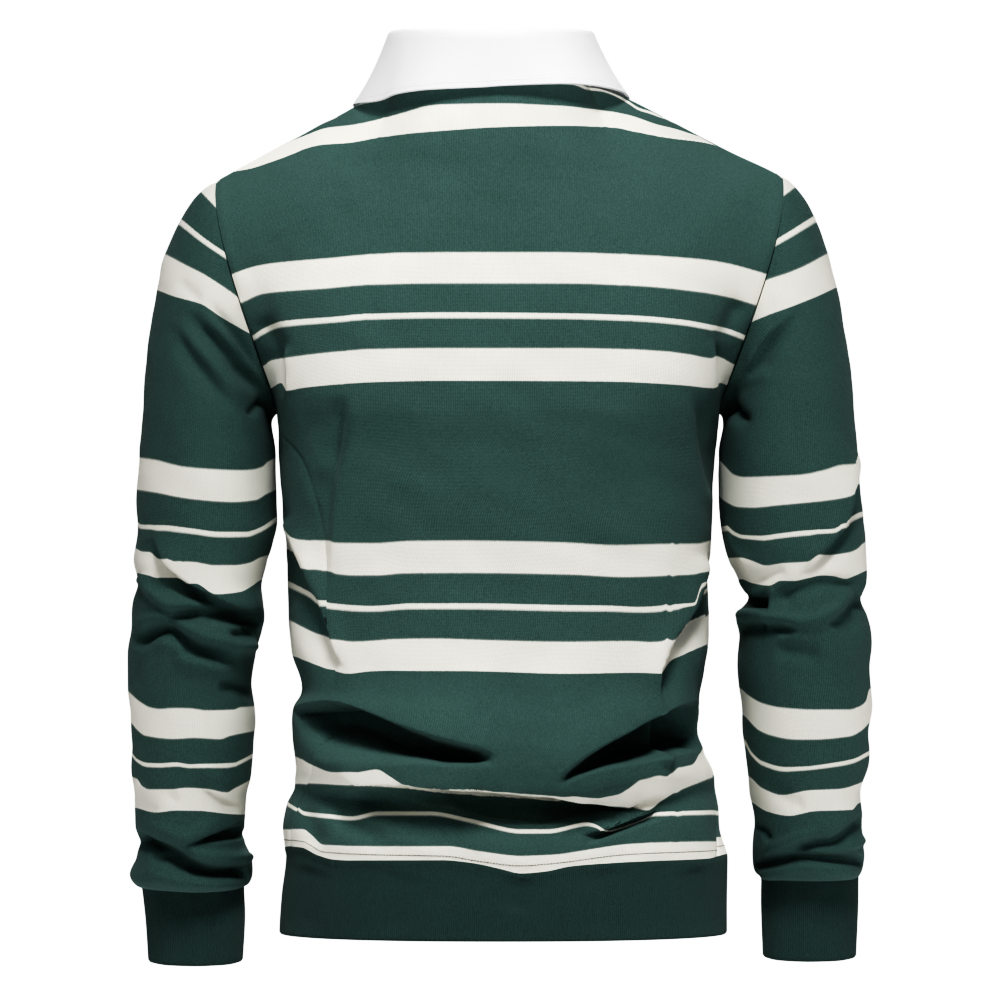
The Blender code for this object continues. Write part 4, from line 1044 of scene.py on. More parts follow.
@dataclass
class Weave:
    """A grid of cloth: its outer face and where each point lies in the cut."""

    points: Array                    # rows by columns, millimetres
    cut: Array                       # rows by columns: across and up the cut
    closed: bool                          # the rows are rings
    facing: int                           # +1 where rows x columns point outwards
    wall: float
    normals: Array = field(init=False)

    def __post_init__(self) -> None:
        """Work out the outward directions."""
        self.normals = grid_normals(self.points, self.closed, self.facing)

    def faces(self, rows: int, columns: int, start: int, flip: bool) -> Array:
        """Return the grid's cells as vertex numbers.

        Args:
            rows: How many rows of points.
            columns: How many columns.
            start: The number of the grid's first vertex.
            flip: The cells face the other way.

        Returns:
            Four vertex numbers for each cell.
        """
        r = np.arange(rows - 1)[:, None]
        c = np.arange(columns if self.closed else columns - 1)[None, :]
        d = (c + 1) % columns
        cells = np.stack([r * columns + c, (r + 1) * columns + c,
                          (r + 1) * columns + d, r * columns + d], axis=-1).reshape(-1, 4) + start
        return cells[:, ::-1] if flip else cells

    def rim(self, outer: Array, inner: Array, flip: bool) -> list[tuple[int, int, int]]:
        """Return the triangles between an edge and its half as dense inner edge.

        Args:
            outer: Vertex numbers along the outer face's edge.
            inner: Vertex numbers along the inner face's edge.
            flip: The triangles face the other way.

        Returns:
            Three vertex numbers for each triangle.
        """
        triangles = []
        for k in range(len(inner) - 1):
            a, b, c = outer[2 * k], outer[2 * k + 1], outer[2 * k + 2]
            triangles += [(a, b, inner[k]), (b, inner[k + 1], inner[k]), (b, c, inner[k + 1])]
        return [t[::-1] for t in triangles] if flip else triangles

    def build(self, name: str, material: bpy.types.Material) -> bpy.types.Object:
        """Return the closed wall as a smooth object.

        Args:
            name: The piece's name.
            material: What it is made of.

        Returns:
            The object, with the cut as its map.
        """
        rows, columns = self.points.shape[:2]
        inner_points = (self.points - self.normals * self.wall)[::2, ::2]
        inner_rows, inner_columns = inner_points.shape[:2]
        count = rows * columns
        out = np.arange(count).reshape(rows, columns)
        inn = np.arange(inner_rows * inner_columns).reshape(inner_rows, inner_columns) + count
        flip = self.facing < 0
        quads = np.vstack([self.faces(rows, columns, 0, flip),
                           self.faces(inner_rows, inner_columns, count, not flip)])
        if self.closed:
            out, inn = np.hstack([out, out[:, :1]]), np.hstack([inn, inn[:, :1]])
        rims = self.rim(out[0], inn[0], not flip) + self.rim(out[-1], inn[-1], flip)
        if not self.closed:
            rims += self.rim(out[:, 0], inn[:, 0], flip) + self.rim(out[:, -1], inn[:, -1], not flip)
        places = np.vstack([self.points.reshape(-1, 3), inner_points.reshape(-1, 3)]) * MM
        cuts = np.vstack([self.cut.reshape(-1, 2), self.cut[::2, ::2].reshape(-1, 2)]) * MM
        mesh = bpy.data.meshes.new(name)
        mesh.from_pydata(places.tolist(), [], quads.tolist() + [list(map(int, t)) for t in rims])
        loops = np.empty(len(mesh.loops), dtype=np.int32)
        mesh.loops.foreach_get("vertex_index", loops)
        layer = mesh.uv_layers.new(name=CUT_MAP)
        layer.data.foreach_set("uv", cuts[loops].astype(np.float32).ravel())
        mesh.polygons.foreach_set("use_smooth", np.ones(len(mesh.polygons), dtype=bool))
        mesh.materials.append(material)
        piece = placed(name, mesh)
        mesh.set_sharp_from_angle(angle=math.radians(70))
        LOG.info("%s: %d faces", name, len(mesh.polygons))
        return piece


def cut_lengths(points: Array, axis: int) -> Array:
    """Return how far along the cloth each point lies, in rows (0) or columns (1)."""
    steps = np.linalg.norm(np.diff(points, axis=axis), axis=2)
    lengths = np.cumsum(steps, axis=axis)
    return np.concatenate([np.zeros_like(np.take(lengths, [0], axis=axis)), lengths], axis=axis)


def visible_heights(heights: Array, down: Array, lengths: Array) -> Array:
    """Return heights in the cut, evened out where an overhang hides the cloth.

    Args:
        heights: The chart's heights; rows run down the cloth.
        down: Pixels down of the same points.
        lengths: How far along its column each point lies.

    Returns:
        The heights, where the hidden ones run evenly from one seen point to the next.
    """
    lowest = np.maximum.accumulate(down, axis=0)
    shown = down >= lowest - 1e-6
    result = heights.copy()
    for column in range(heights.shape[1]):
        keep = shown[:, column]
        if not keep.all():
            result[:, column] = np.interp(lengths[:, column], lengths[keep, column], heights[keep, column])
    return result


def outward_for_folds(points: Array, closed: bool, facing: int) -> Array:
    """Return the way that folds stand out: mostly level, whatever way the cloth leans."""
    normals = grid_normals(points, closed, facing)
    return unit(normals * np.array((1.0, 1.0, LEVEL_SHARE)))


# ================================================================ the knitted body
@dataclass
class Torso:
    """The back and front panels, which share their seams."""

    columns: int = 220           # across each panel, an even number
    dense_low: int = 620         # rows worked out below the waist ring, before respacing
    dense_high: int = 220        # from there to the armpits
    dense_yoke: int = 260        # and up to the shoulder
    low_steps: int = 190
    high_steps: int = 68
    yoke_steps: int = 82
    ease_below: float = 0.2      # the easing fades in and out over these shares of the yoke
    ease_above: float = 0.25
    easing: int = 120            # passes that take the neck's corners out of the yoke
    hold_over: float = 9.0       # how far from the hem seam and the armholes the folds come in
    hold_rows: int = 60          # dense rows below the armpits that the armhole still holds
    lowest_height: float = 0.5   # the lowest cream stripe reaches the hem seam

    def __post_init__(self) -> None:
        """Work out both panels' cloth."""
        self.shares = np.linspace(-1.0, 1.0, self.columns + 1)
        low = np.linspace(0.0, WAIST_PLACE, self.dense_low, endpoint=False)
        high = np.linspace(WAIST_PLACE, len(BODY_SECTIONS) - 1.0, self.dense_high, endpoint=False)
        self.places = np.concatenate([low, high])
        self.climb = np.linspace(0.0, 1.0, self.dense_yoke)
        smooth_grids = {side: self.smooth_panel(side) for side in (1, -1)}
        outward = {side: outward_for_folds(grid, False, side) for side, grid in smooth_grids.items()}
        below = len(self.places)
        for edge in (0, -1):
            shared = unit(outward[1][:below + 1, edge] + outward[-1][:below + 1, edge])
            outward[1][:below + 1, edge] = outward[-1][:below + 1, edge] = shared
        self.panels = {side: self.panel(side, smooth_grids[side], outward[side]) for side in (1, -1)}

    def smooth_panel(self, side: int) -> Array:
        """Return a panel's dense rows without folds, from the hem seam up."""
        below = body_points(self.places, seam_angles(side, self.shares, self.places))
        yoke = yoke_points(side, self.shares, self.climb)
        held = smooth((1.0 - self.climb) / self.ease_above) * smooth(self.climb / self.ease_below)
        eased = yoke + (evened(yoke, self.easing) - yoke) * held[:, None, None]
        return np.concatenate([below, eased])

    def hold(self, grid: Array) -> Array:
        """Return how much of each fold a point gets: none at the hem seam and the armholes.

        Args:
            grid: A panel's dense rows.

        Returns:
            A share for each point.
        """
        below = len(self.places)
        up = grid[..., 2] - grid[0, :, 2]
        held = smooth(up / self.hold_over)
        aside = np.minimum(np.abs(grid[..., 0] - grid[:, :1, 0]), np.abs(grid[..., 0] - grid[:, -1:, 0]))
        apart = np.hypot(aside, np.maximum(grid[below, 0, 2] - grid[..., 2], 0.0))
        near = np.arange(len(grid))[:, None] > below - self.hold_rows
        return held * np.where(near, smooth(apart / self.hold_over), 1.0)

    def panel(self, side: int, grid: Array, outward: Array) -> Weave:
        """Return a panel with its folds, its seams and its place in the cut.

        Args:
            side: +1 for the back, -1 for the front.
            grid: The panel's dense rows without folds.
            outward: The way that folds stand out, at each point.

        Returns:
            The panel's cloth.
        """
        hold = self.hold(grid)
        moved = grid + outward * (wander(grid) * hold)[..., None]
        above = grid[..., 2] - grid[0, :, 2]
        moved[..., 2] += seam_lift(grid[0]) * np.exp(-(above / HEM_SEAM_FADE) ** 2)
        for seen_side in (1, -1):
            moved = folded(moved, outward, BODY_FOLDS[seen_side], seen_side, hold)
        low, high = self.dense_low, len(self.places)
        points = respaced(moved, [(0, low, self.low_steps), (low, high, self.high_steps),
                                  (high, len(moved) - 1, self.yoke_steps)])
        across_cut = cut_lengths(points, 1)
        edge = np.minimum(across_cut, across_cut[:, -1:] - across_cut)
        points = dipped(points, grid_normals(points, False, side), edge)
        across, down = seen(points)
        chart = BACK_STRIPES if side > 0 else FRONT_STRIPES
        heights = chart.heights(across, down)[::-1]
        lengths = cut_lengths(points[::-1], 0)
        heights = np.maximum(visible_heights(heights, down[::-1], lengths)[::-1], self.lowest_height)
        cut = np.stack([across_cut - across_cut[:, -1:] / 2.0, evened(heights, 2)], axis=-1)
        return Weave(points, cut, False, side, JERSEY_WALL)


@dataclass
class Sleeve:
    """A set-in sleeve, from the armhole to the cuff seam."""

    sign: int                    # +1 for the wearer's left, -1 for the right
    columns: int = 160
    cap_rows: int = 150
    arm_rows: int = 640
    cap_steps: int = 90
    arm_steps: int = 220
    held_above: float = 10.0     # how far below the armhole seam the folds come in
    held_below: float = 5.0      # and above the cuff seam
    cut_girth: float = 320.0
    blend: float = 0.12          # how far round the sides the back's stripes turn into the front's

    def __post_init__(self) -> None:
        """Work out the sleeve's cloth."""
        sign = self.sign
        self.turns = 2.0 * math.pi * np.arange(self.columns) / self.columns
        places = np.linspace(0.0, len(ARM_SECTIONS[sign]) - 1.0, self.arm_rows)
        grid = sleeve_points(sign, self.turns, self.cap_rows, places)
        facing = -sign
        outward = outward_for_folds(grid, True, facing)
        from_top = cut_lengths(grid, 0)
        hold = smooth(from_top / self.held_above) * smooth((from_top[-1] - from_top) / self.held_below)
        grid = grid + outward * (wander(grid) * hold)[..., None]
        for side in (1, -1):
            grid = folded(grid, outward, SLEEVE_FOLDS[(sign, side)], side, hold)
        points = respaced(grid, [(0, self.cap_rows, self.cap_steps),
                                 (self.cap_rows, len(grid) - 1, self.arm_steps)])
        lengths = cut_lengths(points, 0)
        points = dipped(points, grid_normals(points, True, facing), lengths)
        heights = self.heights(SLEEVE_STRIPES[sign], points)
        heights = visible_heights(heights, seen(points)[1], lengths)
        around = np.broadcast_to(np.arange(self.columns) * (self.cut_girth / self.columns), heights.shape)
        self.cloth = Weave(points, np.stack([around, heights], axis=-1), True, facing, JERSEY_WALL)

    def heights(self, chart: StripeChart, points: Array) -> Array:
        """Return heights in the cut: the chart behind, plain lines in front.

        Args:
            chart: The sleeve's stripes.
            points: Rings of the sleeve.

        Returns:
            Millimetres up the cut, for each point.
        """
        behind, in_front = (one.heights(*seen(points)) for one in (chart, chart.plain()))
        share = smooth((np.sin(self.turns) + self.blend) / (2.0 * self.blend))[None, :]
        return in_front + (behind - in_front) * share


HEM_COLUMNS, HEM_ROWS = 480, 49
CUFF_COLUMNS, CUFF_ROWS = 160, 41
RIB_HOLD = 12.0               # how far below its seam a band's folds come in
RIB_CURL = 1.1                # how far its edge rolls in
RIB_CURL_OVER = 2.0           # over the last of its length
RIB_SWELL_OVER = 3.0          # how soon it swells below its seam
HEM_SWELL, CUFF_SWELL = 0.5, 0.4
CUFF_WAVES = 9.0              # a gathered cuff swells and dips so often round the wrist
CUFF_WAVE_DEPTH = 0.35
CUFF_WAVES_OVER = 14.0        # how soon the waves come in below the seam


def rib_tube(grid: Array, facing: int, folds: dict[int, list[Fold]], swell: float,
             waving: Array | float, measured: int) -> Weave:
    """Return a ribbed tube that swells below its seam and rolls in at its edge.

    Args:
        grid: Its smooth rings, from the seam down.
        facing: As a Weave's.
        folds: Its folds by the side they are seen from.
        swell: How far it stands out below the seam.
        waving: How far it waves in and out, for each column.
        measured: The ring that gives the widths in the cut.

    Returns:
        The tube's cloth.
    """
    outward = outward_for_folds(grid, True, facing)
    down_cut = cut_lengths(grid, 0)
    for side, drawn_folds in folds.items():
        grid = folded(grid, outward, drawn_folds, side, smooth(down_cut / RIB_HOLD))
    left = down_cut[-1] - down_cut
    curl = 1.0 - np.sqrt(np.clip(1.0 - (1.0 - left / RIB_CURL_OVER).clip(0.0, 1.0) ** 2, 0.0, 1.0))
    lift = swell * smooth(down_cut / RIB_SWELL_OVER) + waving * smooth(down_cut / CUFF_WAVES_OVER)
    points = grid + outward * (lift - RIB_CURL * curl)[..., None]
    ring = points[measured]
    around = np.cumsum(np.linalg.norm(ring - np.roll(ring, 1, axis=0), axis=1))
    cut = np.stack([np.broadcast_to(around, down_cut.shape), -down_cut], axis=-1)
    return Weave(points, cut, True, facing, RIB_WALL)


def hem_band() -> Weave:
    """Return the ribbed band below the body."""
    angles = 180.0 - 360.0 * np.arange(HEM_COLUMNS) / HEM_COLUMNS
    grid = band_points(np.linspace(0.0, 1.0, HEM_ROWS), angles)
    return rib_tube(grid, 1, BAND_FOLDS, HEM_SWELL, 0.0, measured=0)


def cuff(sign: int) -> Weave:
    """Return a ribbed cuff; sign is +1 for the wearer's left."""
    turns = 2.0 * math.pi * np.arange(CUFF_COLUMNS) / CUFF_COLUMNS
    table = CUFF_SECTIONS[sign]
    grid = arm_points(along(table, np.linspace(0.0, len(table) - 1.0, CUFF_ROWS)), sign, turns)
    waving = CUFF_WAVE_DEPTH * np.sin(turns * CUFF_WAVES + 0.7)[None, :]
    return rib_tube(grid, -sign, {}, CUFF_SWELL, waving, measured=8)


# ================================================================ collar and placket
STAND_COLUMNS, STAND_ROWS = 180, 17
LEAF_COLUMNS, LEAF_ROWS, LEAF_FOLD_ROWS = 240, 37, 21
LEAF_BELLY = 1.0              # how far the leaf bows in under itself


def collar_turns(columns: int) -> Array:
    """Return the angles round the neck, from the left front end to the right one."""
    return np.linspace(180.0, -180.0, columns + 1)


def twill_strip(points: Array, across: Array, facing: int) -> Weave:
    """Return a strip of twill, cut to those widths across and to its own length."""
    cut = np.stack([np.broadcast_to(across, points.shape[:2]), cut_lengths(points, 0)], axis=-1)
    return Weave(points, cut, False, facing, TWILL_WALL)


def collar_stand() -> Weave:
    """Return the collar's stand, from the neckline up to the fold."""
    turns = collar_turns(STAND_COLUMNS)
    shares = np.linspace(0.0, 1.0, STAND_ROWS)[:, None, None]
    low = neck_ring(turns) + np.array((0.0, 0.0, 0.3))
    points = low + (fold_line(turns) - low) * shares
    return twill_strip(points, cut_lengths(points, 1)[0], 1)


def collar_leaf() -> Weave:
    """Return the collar's leaf, from inside the neck over the fold to its edge."""
    turns = collar_turns(LEAF_COLUMNS)
    outward = outward_at_neck(turns)
    line = fold_line(turns)
    places = np.linspace(0.0, len(FOLD_PROFILE) - 1.0, LEAF_FOLD_ROWS)
    profile = along(np.array(FOLD_PROFILE), places)[:, None]
    fold_rows = line + outward * profile[..., :1] + np.array((0.0, 0.0, 1.0)) * profile[..., 1:]
    start = fold_rows[-1]
    rows = looked_up(LEAF_EDGE, np.abs(turns))
    slant = looked_up(LEAF_SLANT, turns)
    edge = stack(NECK_CENTRE + np.copysign(rows[:, 1], turns), rows[:, 2], rows[:, 3] + slant[:, 1])
    edge = edge - outward * slant[:, 2:]
    share = np.linspace(0.0, 1.0, LEAF_ROWS)[1:, None, None]
    belly = outward * (-LEAF_BELLY * np.sin(math.pi * share))
    under = np.concatenate([fold_rows, start + (edge - start) * share + belly])
    points = under + grid_normals(under, False, 1) * TWILL_WALL
    return twill_strip(points, cut_lengths(points, 1)[LEAF_FOLD_ROWS - 1], 1)


@dataclass
class Placket:
    """The strips over and under the front's slit, and places on them."""

    rows: int = 101
    columns: int = 20
    read_rows: int = 400         # of the front's cloth under it
    read_columns: int = 81
    middle: int = 40             # the column at the slit
    top_gap: float = 3.0

    def __post_init__(self) -> None:
        """Read the front's centre line and the cloth beside it."""
        shares = np.linspace(-0.2, 0.2, self.read_columns)
        grid = yoke_points(-1, shares, np.linspace(0.0, 1.0, self.read_rows))
        drop = neck_points(-1, np.zeros(1))[0, 2] - grid[:, self.middle, 2]
        keep = (drop <= PLACKET_LENGTH) & (drop >= self.top_gap)
        self.grid = grid[keep]
        self.drop = drop[keep]

    def strip(self, lift: float) -> Weave:
        """Return a strip of the placket.

        Args:
            lift: How far its outer face lies off the panel's.

        Returns:
            The strip's cloth.
        """
        pick = np.linspace(0, len(self.grid) - 1, self.rows)
        rows = along(self.grid.reshape(len(self.grid), -1), pick).reshape(self.rows, -1, 3)
        wanted = np.linspace(-PLACKET_HALF_WIDTH, PLACKET_HALF_WIDTH, self.columns + 1)
        points = np.empty((self.rows, self.columns + 1, 3))
        for index, row in enumerate(rows):
            for axis in range(3):
                points[index, :, axis] = np.interp(wanted + row[self.middle, 0], row[:, 0], row[:, axis])
        return twill_strip(points + grid_normals(points, False, -1) * lift, wanted, -1)

    def place(self, drop: float) -> tuple[Array, Array]:
        """Return a point of the chest's centre line and the direction it faces."""
        line = self.grid[:, self.middle]
        index = int(np.argmin(np.abs(self.drop - drop)))
        rise = line[min(index + 3, len(line) - 1)] - line[max(index - 3, 0)]
        return line[index], unit(np.array((0.0, -rise[2], rise[1])))


# ================================================================ finishes
@dataclass(frozen=True)
class Finish:
    """How one real material looks."""

    colour: str                           # sRGB hex
    roughness: float
    specular: float
    sheen: float
    grain: float                          # how far its colour wanders, 0 to 1
    relief: float                         # height of its knit or weave, millimetres


def linear(colour: str) -> tuple[float, float, float, float]:
    """Return linear RGBA for an sRGB hex colour."""
    parts = [int(colour[i:i + 2], 16) / 255.0 for i in (1, 3, 5)]
    return tuple(c / 12.92 if c <= 0.04045 else ((c + 0.055) / 1.055) ** 2.4 for c in parts) + (1.0,)


def add(tree: Tree, kind: str, inputs: dict | None = None, **settings) -> bpy.types.Node:
    """Add a node.

    Args:
        tree: The tree that gets it.
        kind: The node's type name.
        inputs: Values, or sockets to link from, by input name or number.
        settings: The node's own properties.

    Returns:
        The node.
    """
    node = tree.nodes.new(kind)
    for key, value in settings.items():
        setattr(node, key, value)
    for name, value in (inputs or {}).items():
        if isinstance(value, Socket):
            tree.links.new(value, node.inputs[name])
        else:
            node.inputs[name].default_value = value
    return node


def maths(tree: Tree, operation: str, *values) -> Socket:
    """Add a math node and return its result."""
    return add(tree, "ShaderNodeMath", dict(enumerate(values)), operation=operation).outputs[0]


def scaled(tree: Tree, colour: Socket | tuple,
           factor: Socket) -> Socket:
    """Add a node that scales a colour or another vector, and return its result."""
    return add(tree, "ShaderNodeVectorMath", {0: colour, "Scale": factor}, operation="SCALE").outputs[0]


def waves(tree: Tree, place: Socket, pitch_mm: float) -> Socket:
    """Return ridges, 0 to 1, that repeat every pitch along a place in metres."""
    turn = maths(tree, "MULTIPLY", place, 2.0 * math.pi / (pitch_mm * MM))
    return maths(tree, "MULTIPLY_ADD", maths(tree, "SINE", turn), 0.5, 0.5)


class Material:
    """A Principled material that reads the cut's map."""

    def __init__(self, name: str, finish: Finish) -> None:
        """Start the material from its finish."""
        self.finish = finish
        self.material = bpy.data.materials.new(name)
        self.material.use_nodes = True
        self.tree = self.material.node_tree
        self.shader = self.tree.nodes["Principled BSDF"]
        for socket, value in (("Base Color", linear(finish.colour)), ("Roughness", finish.roughness),
                              ("Specular IOR Level", finish.specular), ("Sheen Weight", finish.sheen),
                              ("Sheen Roughness", 0.5)):
            self.shader.inputs[socket].default_value = value
        self.where = add(self.tree, "ShaderNodeTexCoord")
        cut = add(self.tree, "ShaderNodeUVMap", uv_map=CUT_MAP)
        split = add(self.tree, "ShaderNodeSeparateXYZ", {0: cut.outputs["UV"]})
        self.across, self.up = split.outputs["X"], split.outputs["Y"]

    def noise(self, size_mm: float) -> Socket:
        """Return noise with features of about that size."""
        given = {"Vector": self.where.outputs["Object"], "Scale": 1.0 / (size_mm * MM), "Detail": 2.0}
        return add(self.tree, "ShaderNodeTexNoise", given).outputs["Fac"]

    def varied(self, colour: Socket | tuple, fine_mm: float, grain: float | None = None) -> Socket:
        """Return a colour whose brightness wanders with fine and broad noise."""
        grain = self.finish.grain if grain is None else grain
        fine = maths(self.tree, "MULTIPLY_ADD", self.noise(fine_mm), 2.0 * grain, 1.0 - grain)
        broad = maths(self.tree, "MULTIPLY_ADD", self.noise(BROAD_NOISE), 0.16, 0.92)
        return scaled(self.tree, colour, maths(self.tree, "MULTIPLY", fine, broad))

    def bump(self, height: Socket) -> None:
        """Give the material a relief."""
        node = add(self.tree, "ShaderNodeBump", {"Height": height, "Strength": 1.0,
                                                 "Distance": self.finish.relief * MM})
        self.tree.links.new(node.outputs["Normal"], self.shader.inputs["Normal"])

    def paint(self, colour: Socket) -> None:
        """Give the material a colour that varies."""
        self.tree.links.new(colour, self.shader.inputs["Base Color"])


BROAD_NOISE = 70.0            # the size of the patches in which cloth is lighter or darker
WALE = 1.4                    # across the cut, from one column of loops to the next
COURSE = 1.1                  # up the cut, from one row of loops to the next
RIB_PITCH = 1.6               # from one rib to the next
TWILL_PITCH = 1.0             # from one slanting line to the next
STRIPE_REPEAT = 232.5         # from one group of stripes to the next
STRIPE_EDGES = (27.0, 49.0, 53.0, 76.5, 103.5)   # cream up to 27, then green up to 49, and so on
EDGE_SOFT = 0.35

# heavy cotton jersey, dyed dark bottle green; the cream is undyed yarn
JERSEY = Finish("#465F5B", 0.92, 0.18, 0.06, 0.42, 0.12)
# the same knit in undyed yarn
CREAM = Finish("#F0EDE3", 0.92, 0.18, 0.06, 0.06, 0.12)
# doubled cotton rib, coloured darker than the jersey; part of that darkening is painted shade of the hem band
# and the cuffs
RIB = Finish("#324643", 0.92, 0.15, 0.04, 0.36, 0.20)
# pressed white cotton twill
TWILL = Finish("#EAEAEC", 0.85, 0.25, 0.05, 0.02, 0.05)
# polyester resin, cast and polished
RESIN = Finish("#E9E6DD", 0.30, 0.50, 0.0, 0.04, 0.02)
# spun polyester sewing thread
GREEN_THREAD = Finish("#3A3A32", 0.6, 0.3, 0.1, 0.10, 0.05)
WHITE_THREAD = Finish("#F4F4F3", 0.6, 0.3, 0.1, 0.03, 0.05)


def striped_jersey() -> bpy.types.Material:
    """Return green jersey with groups of cream stripes knitted in."""
    made = Material("striped_cotton_jersey", JERSEY)
    tree = made.tree
    ragged = maths(tree, "MULTIPLY_ADD", made.noise(1.6), 0.6 * MM, -0.3 * MM)
    height = maths(tree, "ADD", made.up, ragged)
    turns = maths(tree, "MULTIPLY", height, 1.0 / (STRIPE_REPEAT * MM))
    ramp = add(tree, "ShaderNodeValToRGB", {"Fac": maths(tree, "FRACT", turns)})
    stops, colours = [], ((1.0, 1.0, 1.0, 1.0), (0.0, 0.0, 0.0, 1.0))     # cream, then green
    for index, edge in enumerate(STRIPE_EDGES + (STRIPE_REPEAT - EDGE_SOFT,)):
        before, after = colours[index % 2], colours[(index + 1) % 2]
        stops += [((edge - EDGE_SOFT) / STRIPE_REPEAT, before), ((edge + EDGE_SOFT) / STRIPE_REPEAT, after)]
    elements = ramp.color_ramp.elements
    elements[0].position, elements[0].color = 0.0, colours[0]
    elements[1].position, elements[1].color = stops[0]
    for position, colour in stops[1:]:
        elements.new(min(position, 1.0)).color = colour
    # painted shade: the green darkens along the hollows between the knit's wales
    painted_wale_shade = maths(tree, "MULTIPLY_ADD", waves(tree, made.across, WALE), 0.22, 0.89)
    dyed = scaled(tree, linear(JERSEY.colour)[:3], painted_wale_shade)
    mixed = add(tree, "ShaderNodeMix", {"Factor": ramp.outputs["Color"],
                                        "A": made.varied(dyed, 1.3),
                                        "B": made.varied(linear(CREAM.colour)[:3], 1.3, CREAM.grain)},
                data_type="RGBA")
    made.paint(mixed.outputs[2])
    knit = maths(tree, "ADD", waves(tree, made.across, WALE), waves(tree, made.up, COURSE))
    made.bump(maths(tree, "ADD", knit, made.noise(0.9)))
    return made.material


def green_rib() -> bpy.types.Material:
    """Return dark rib knit, with its ribs up the cut and painted shade in the grooves between them."""
    made = Material("green_cotton_rib", RIB)
    ribs = waves(made.tree, made.across, RIB_PITCH)
    # painted shade: the colour darkens in the grooves between the ribs
    shade = maths(made.tree, "MULTIPLY_ADD", ribs, 0.20, 0.90)
    made.paint(made.varied(scaled(made.tree, linear(RIB.colour)[:3], shade), 1.2))
    made.bump(maths(made.tree, "MULTIPLY_ADD", made.noise(1.0), 0.3, ribs))
    return made.material


def white_twill() -> bpy.types.Material:
    """Return pressed white twill with fine slanting lines."""
    made = Material("white_cotton_twill", TWILL)
    slant = maths(made.tree, "ADD", made.across, made.up)
    made.paint(made.varied(linear(TWILL.colour)[:3], 1.0))
    made.bump(maths(made.tree, "MULTIPLY_ADD", made.noise(3.0), 2.0, waves(made.tree, slant, TWILL_PITCH)))
    return made.material


def plain_material(name: str, finish: Finish, fine_mm: float) -> bpy.types.Material:
    """Return a plain material with its own grain."""
    made = Material(name, finish)
    made.paint(made.varied(linear(finish.colour)[:3], fine_mm))
    made.bump(made.noise(fine_mm))
    return made.material


# ================================================================ stitches and buttons
@dataclass(frozen=True)
class Stitch:
    """A kind of stitch, in millimetres."""

    pitch: float
    length: float
    thickness: float


COVER_STITCH = Stitch(2.5, 2.5, 0.6)
TOP_STITCH = Stitch(3.0, 2.2, 0.55)
STITCHES_OFF = 0.05           # how far stitches lie off the cloth
HEM_STITCHES_UP = 12.0        # above the hem seam
COLLAR_STITCHES_IN = 4.5      # in from the leaf's edge
PLACKET_STITCHES_IN = 2.2


def stitch_tree() -> Tree:
    """Return the node tree that turns a path into a row of stitches."""
    tree = bpy.data.node_groups.new("row_of_stitches", "GeometryNodeTree")
    tree.interface.new_socket("Path", in_out="INPUT", socket_type="NodeSocketGeometry")
    for name in ("Pitch", "Length", "Thickness"):
        tree.interface.new_socket(name, in_out="INPUT", socket_type="NodeSocketFloat")
    tree.interface.new_socket("Thread", in_out="INPUT", socket_type="NodeSocketMaterial")
    tree.interface.new_socket("Stitches", in_out="OUTPUT", socket_type="NodeSocketGeometry")
    given = add(tree, "NodeGroupInput").outputs
    curve = add(tree, "GeometryNodeMeshToCurve", {"Mesh": given["Path"]})
    spaced = add(tree, "GeometryNodeResampleCurve", {"Curve": curve.outputs[0], "Length": given["Pitch"]},
                 mode="LENGTH")
    tangent = add(tree, "GeometryNodeInputTangent")
    turned = add(tree, "FunctionNodeAlignRotationToVector", {"Vector": tangent.outputs[0]}, axis="X")
    thread = add(tree, "GeometryNodeMeshUVSphere", {"Segments": 6, "Rings": 4, "Radius": 0.5})
    uneven = add(tree, "FunctionNodeRandomValue", {"Min": 0.88, "Max": 1.08, "Seed": 7}, data_type="FLOAT")
    size = add(tree, "ShaderNodeCombineXYZ", {"X": given["Length"], "Y": given["Thickness"],
                                              "Z": given["Thickness"]})
    factor = next(output for output in uneven.outputs if output.enabled)
    rows = add(tree, "GeometryNodeInstanceOnPoints",
               {"Points": spaced.outputs[0], "Instance": thread.outputs["Mesh"],
                "Rotation": turned.outputs[0], "Scale": scaled(tree, size.outputs[0], factor)})
    real = add(tree, "GeometryNodeRealizeInstances", {"Geometry": rows.outputs[0]})
    painted = add(tree, "GeometryNodeSetMaterial", {"Geometry": real.outputs[0],
                                                    "Material": given["Thread"]})
    smoothed = add(tree, "GeometryNodeSetShadeSmooth", {"Geometry": painted.outputs[0]})
    add(tree, "NodeGroupOutput", {"Stitches": smoothed.outputs[0]})
    return tree


def stitch_rows(name: str, paths: list[Array], stitch: Stitch, thread: bpy.types.Material,
                tree: Tree) -> bpy.types.Object:
    """Return rows of stitches along paths.

    Args:
        name: The piece's name.
        paths: Points of each row, in millimetres.
        stitch: The kind of stitch.
        thread: Its material.
        tree: The tree from stitch_tree.

    Returns:
        The stitches as one mesh.
    """
    edges, start = [], 0
    for path in paths:
        edges += [(start + i, start + i + 1) for i in range(len(path) - 1)]
        start += len(path)
    line = bpy.data.meshes.new(name + "_path")
    line.from_pydata((np.vstack(paths) * MM).tolist(), edges, [])
    guide = placed(name + "_path", line)
    modifier = guide.modifiers.new("stitches", "NODES")
    modifier.node_group = tree
    values = {"Pitch": stitch.pitch * MM, "Length": stitch.length * MM,
              "Thickness": stitch.thickness * MM, "Thread": thread}
    for item in tree.interface.items_tree:
        if item.name in values:
            modifier[item.identifier] = values[item.name]
    evaluated = guide.evaluated_get(bpy.context.evaluated_depsgraph_get())
    mesh = bpy.data.meshes.new_from_object(evaluated)
    mesh.name = name
    bpy.data.objects.remove(guide, do_unlink=True)
    bpy.data.meshes.remove(line)
    LOG.info("%s: %d faces", name, len(mesh.polygons))
    return placed(name, mesh)


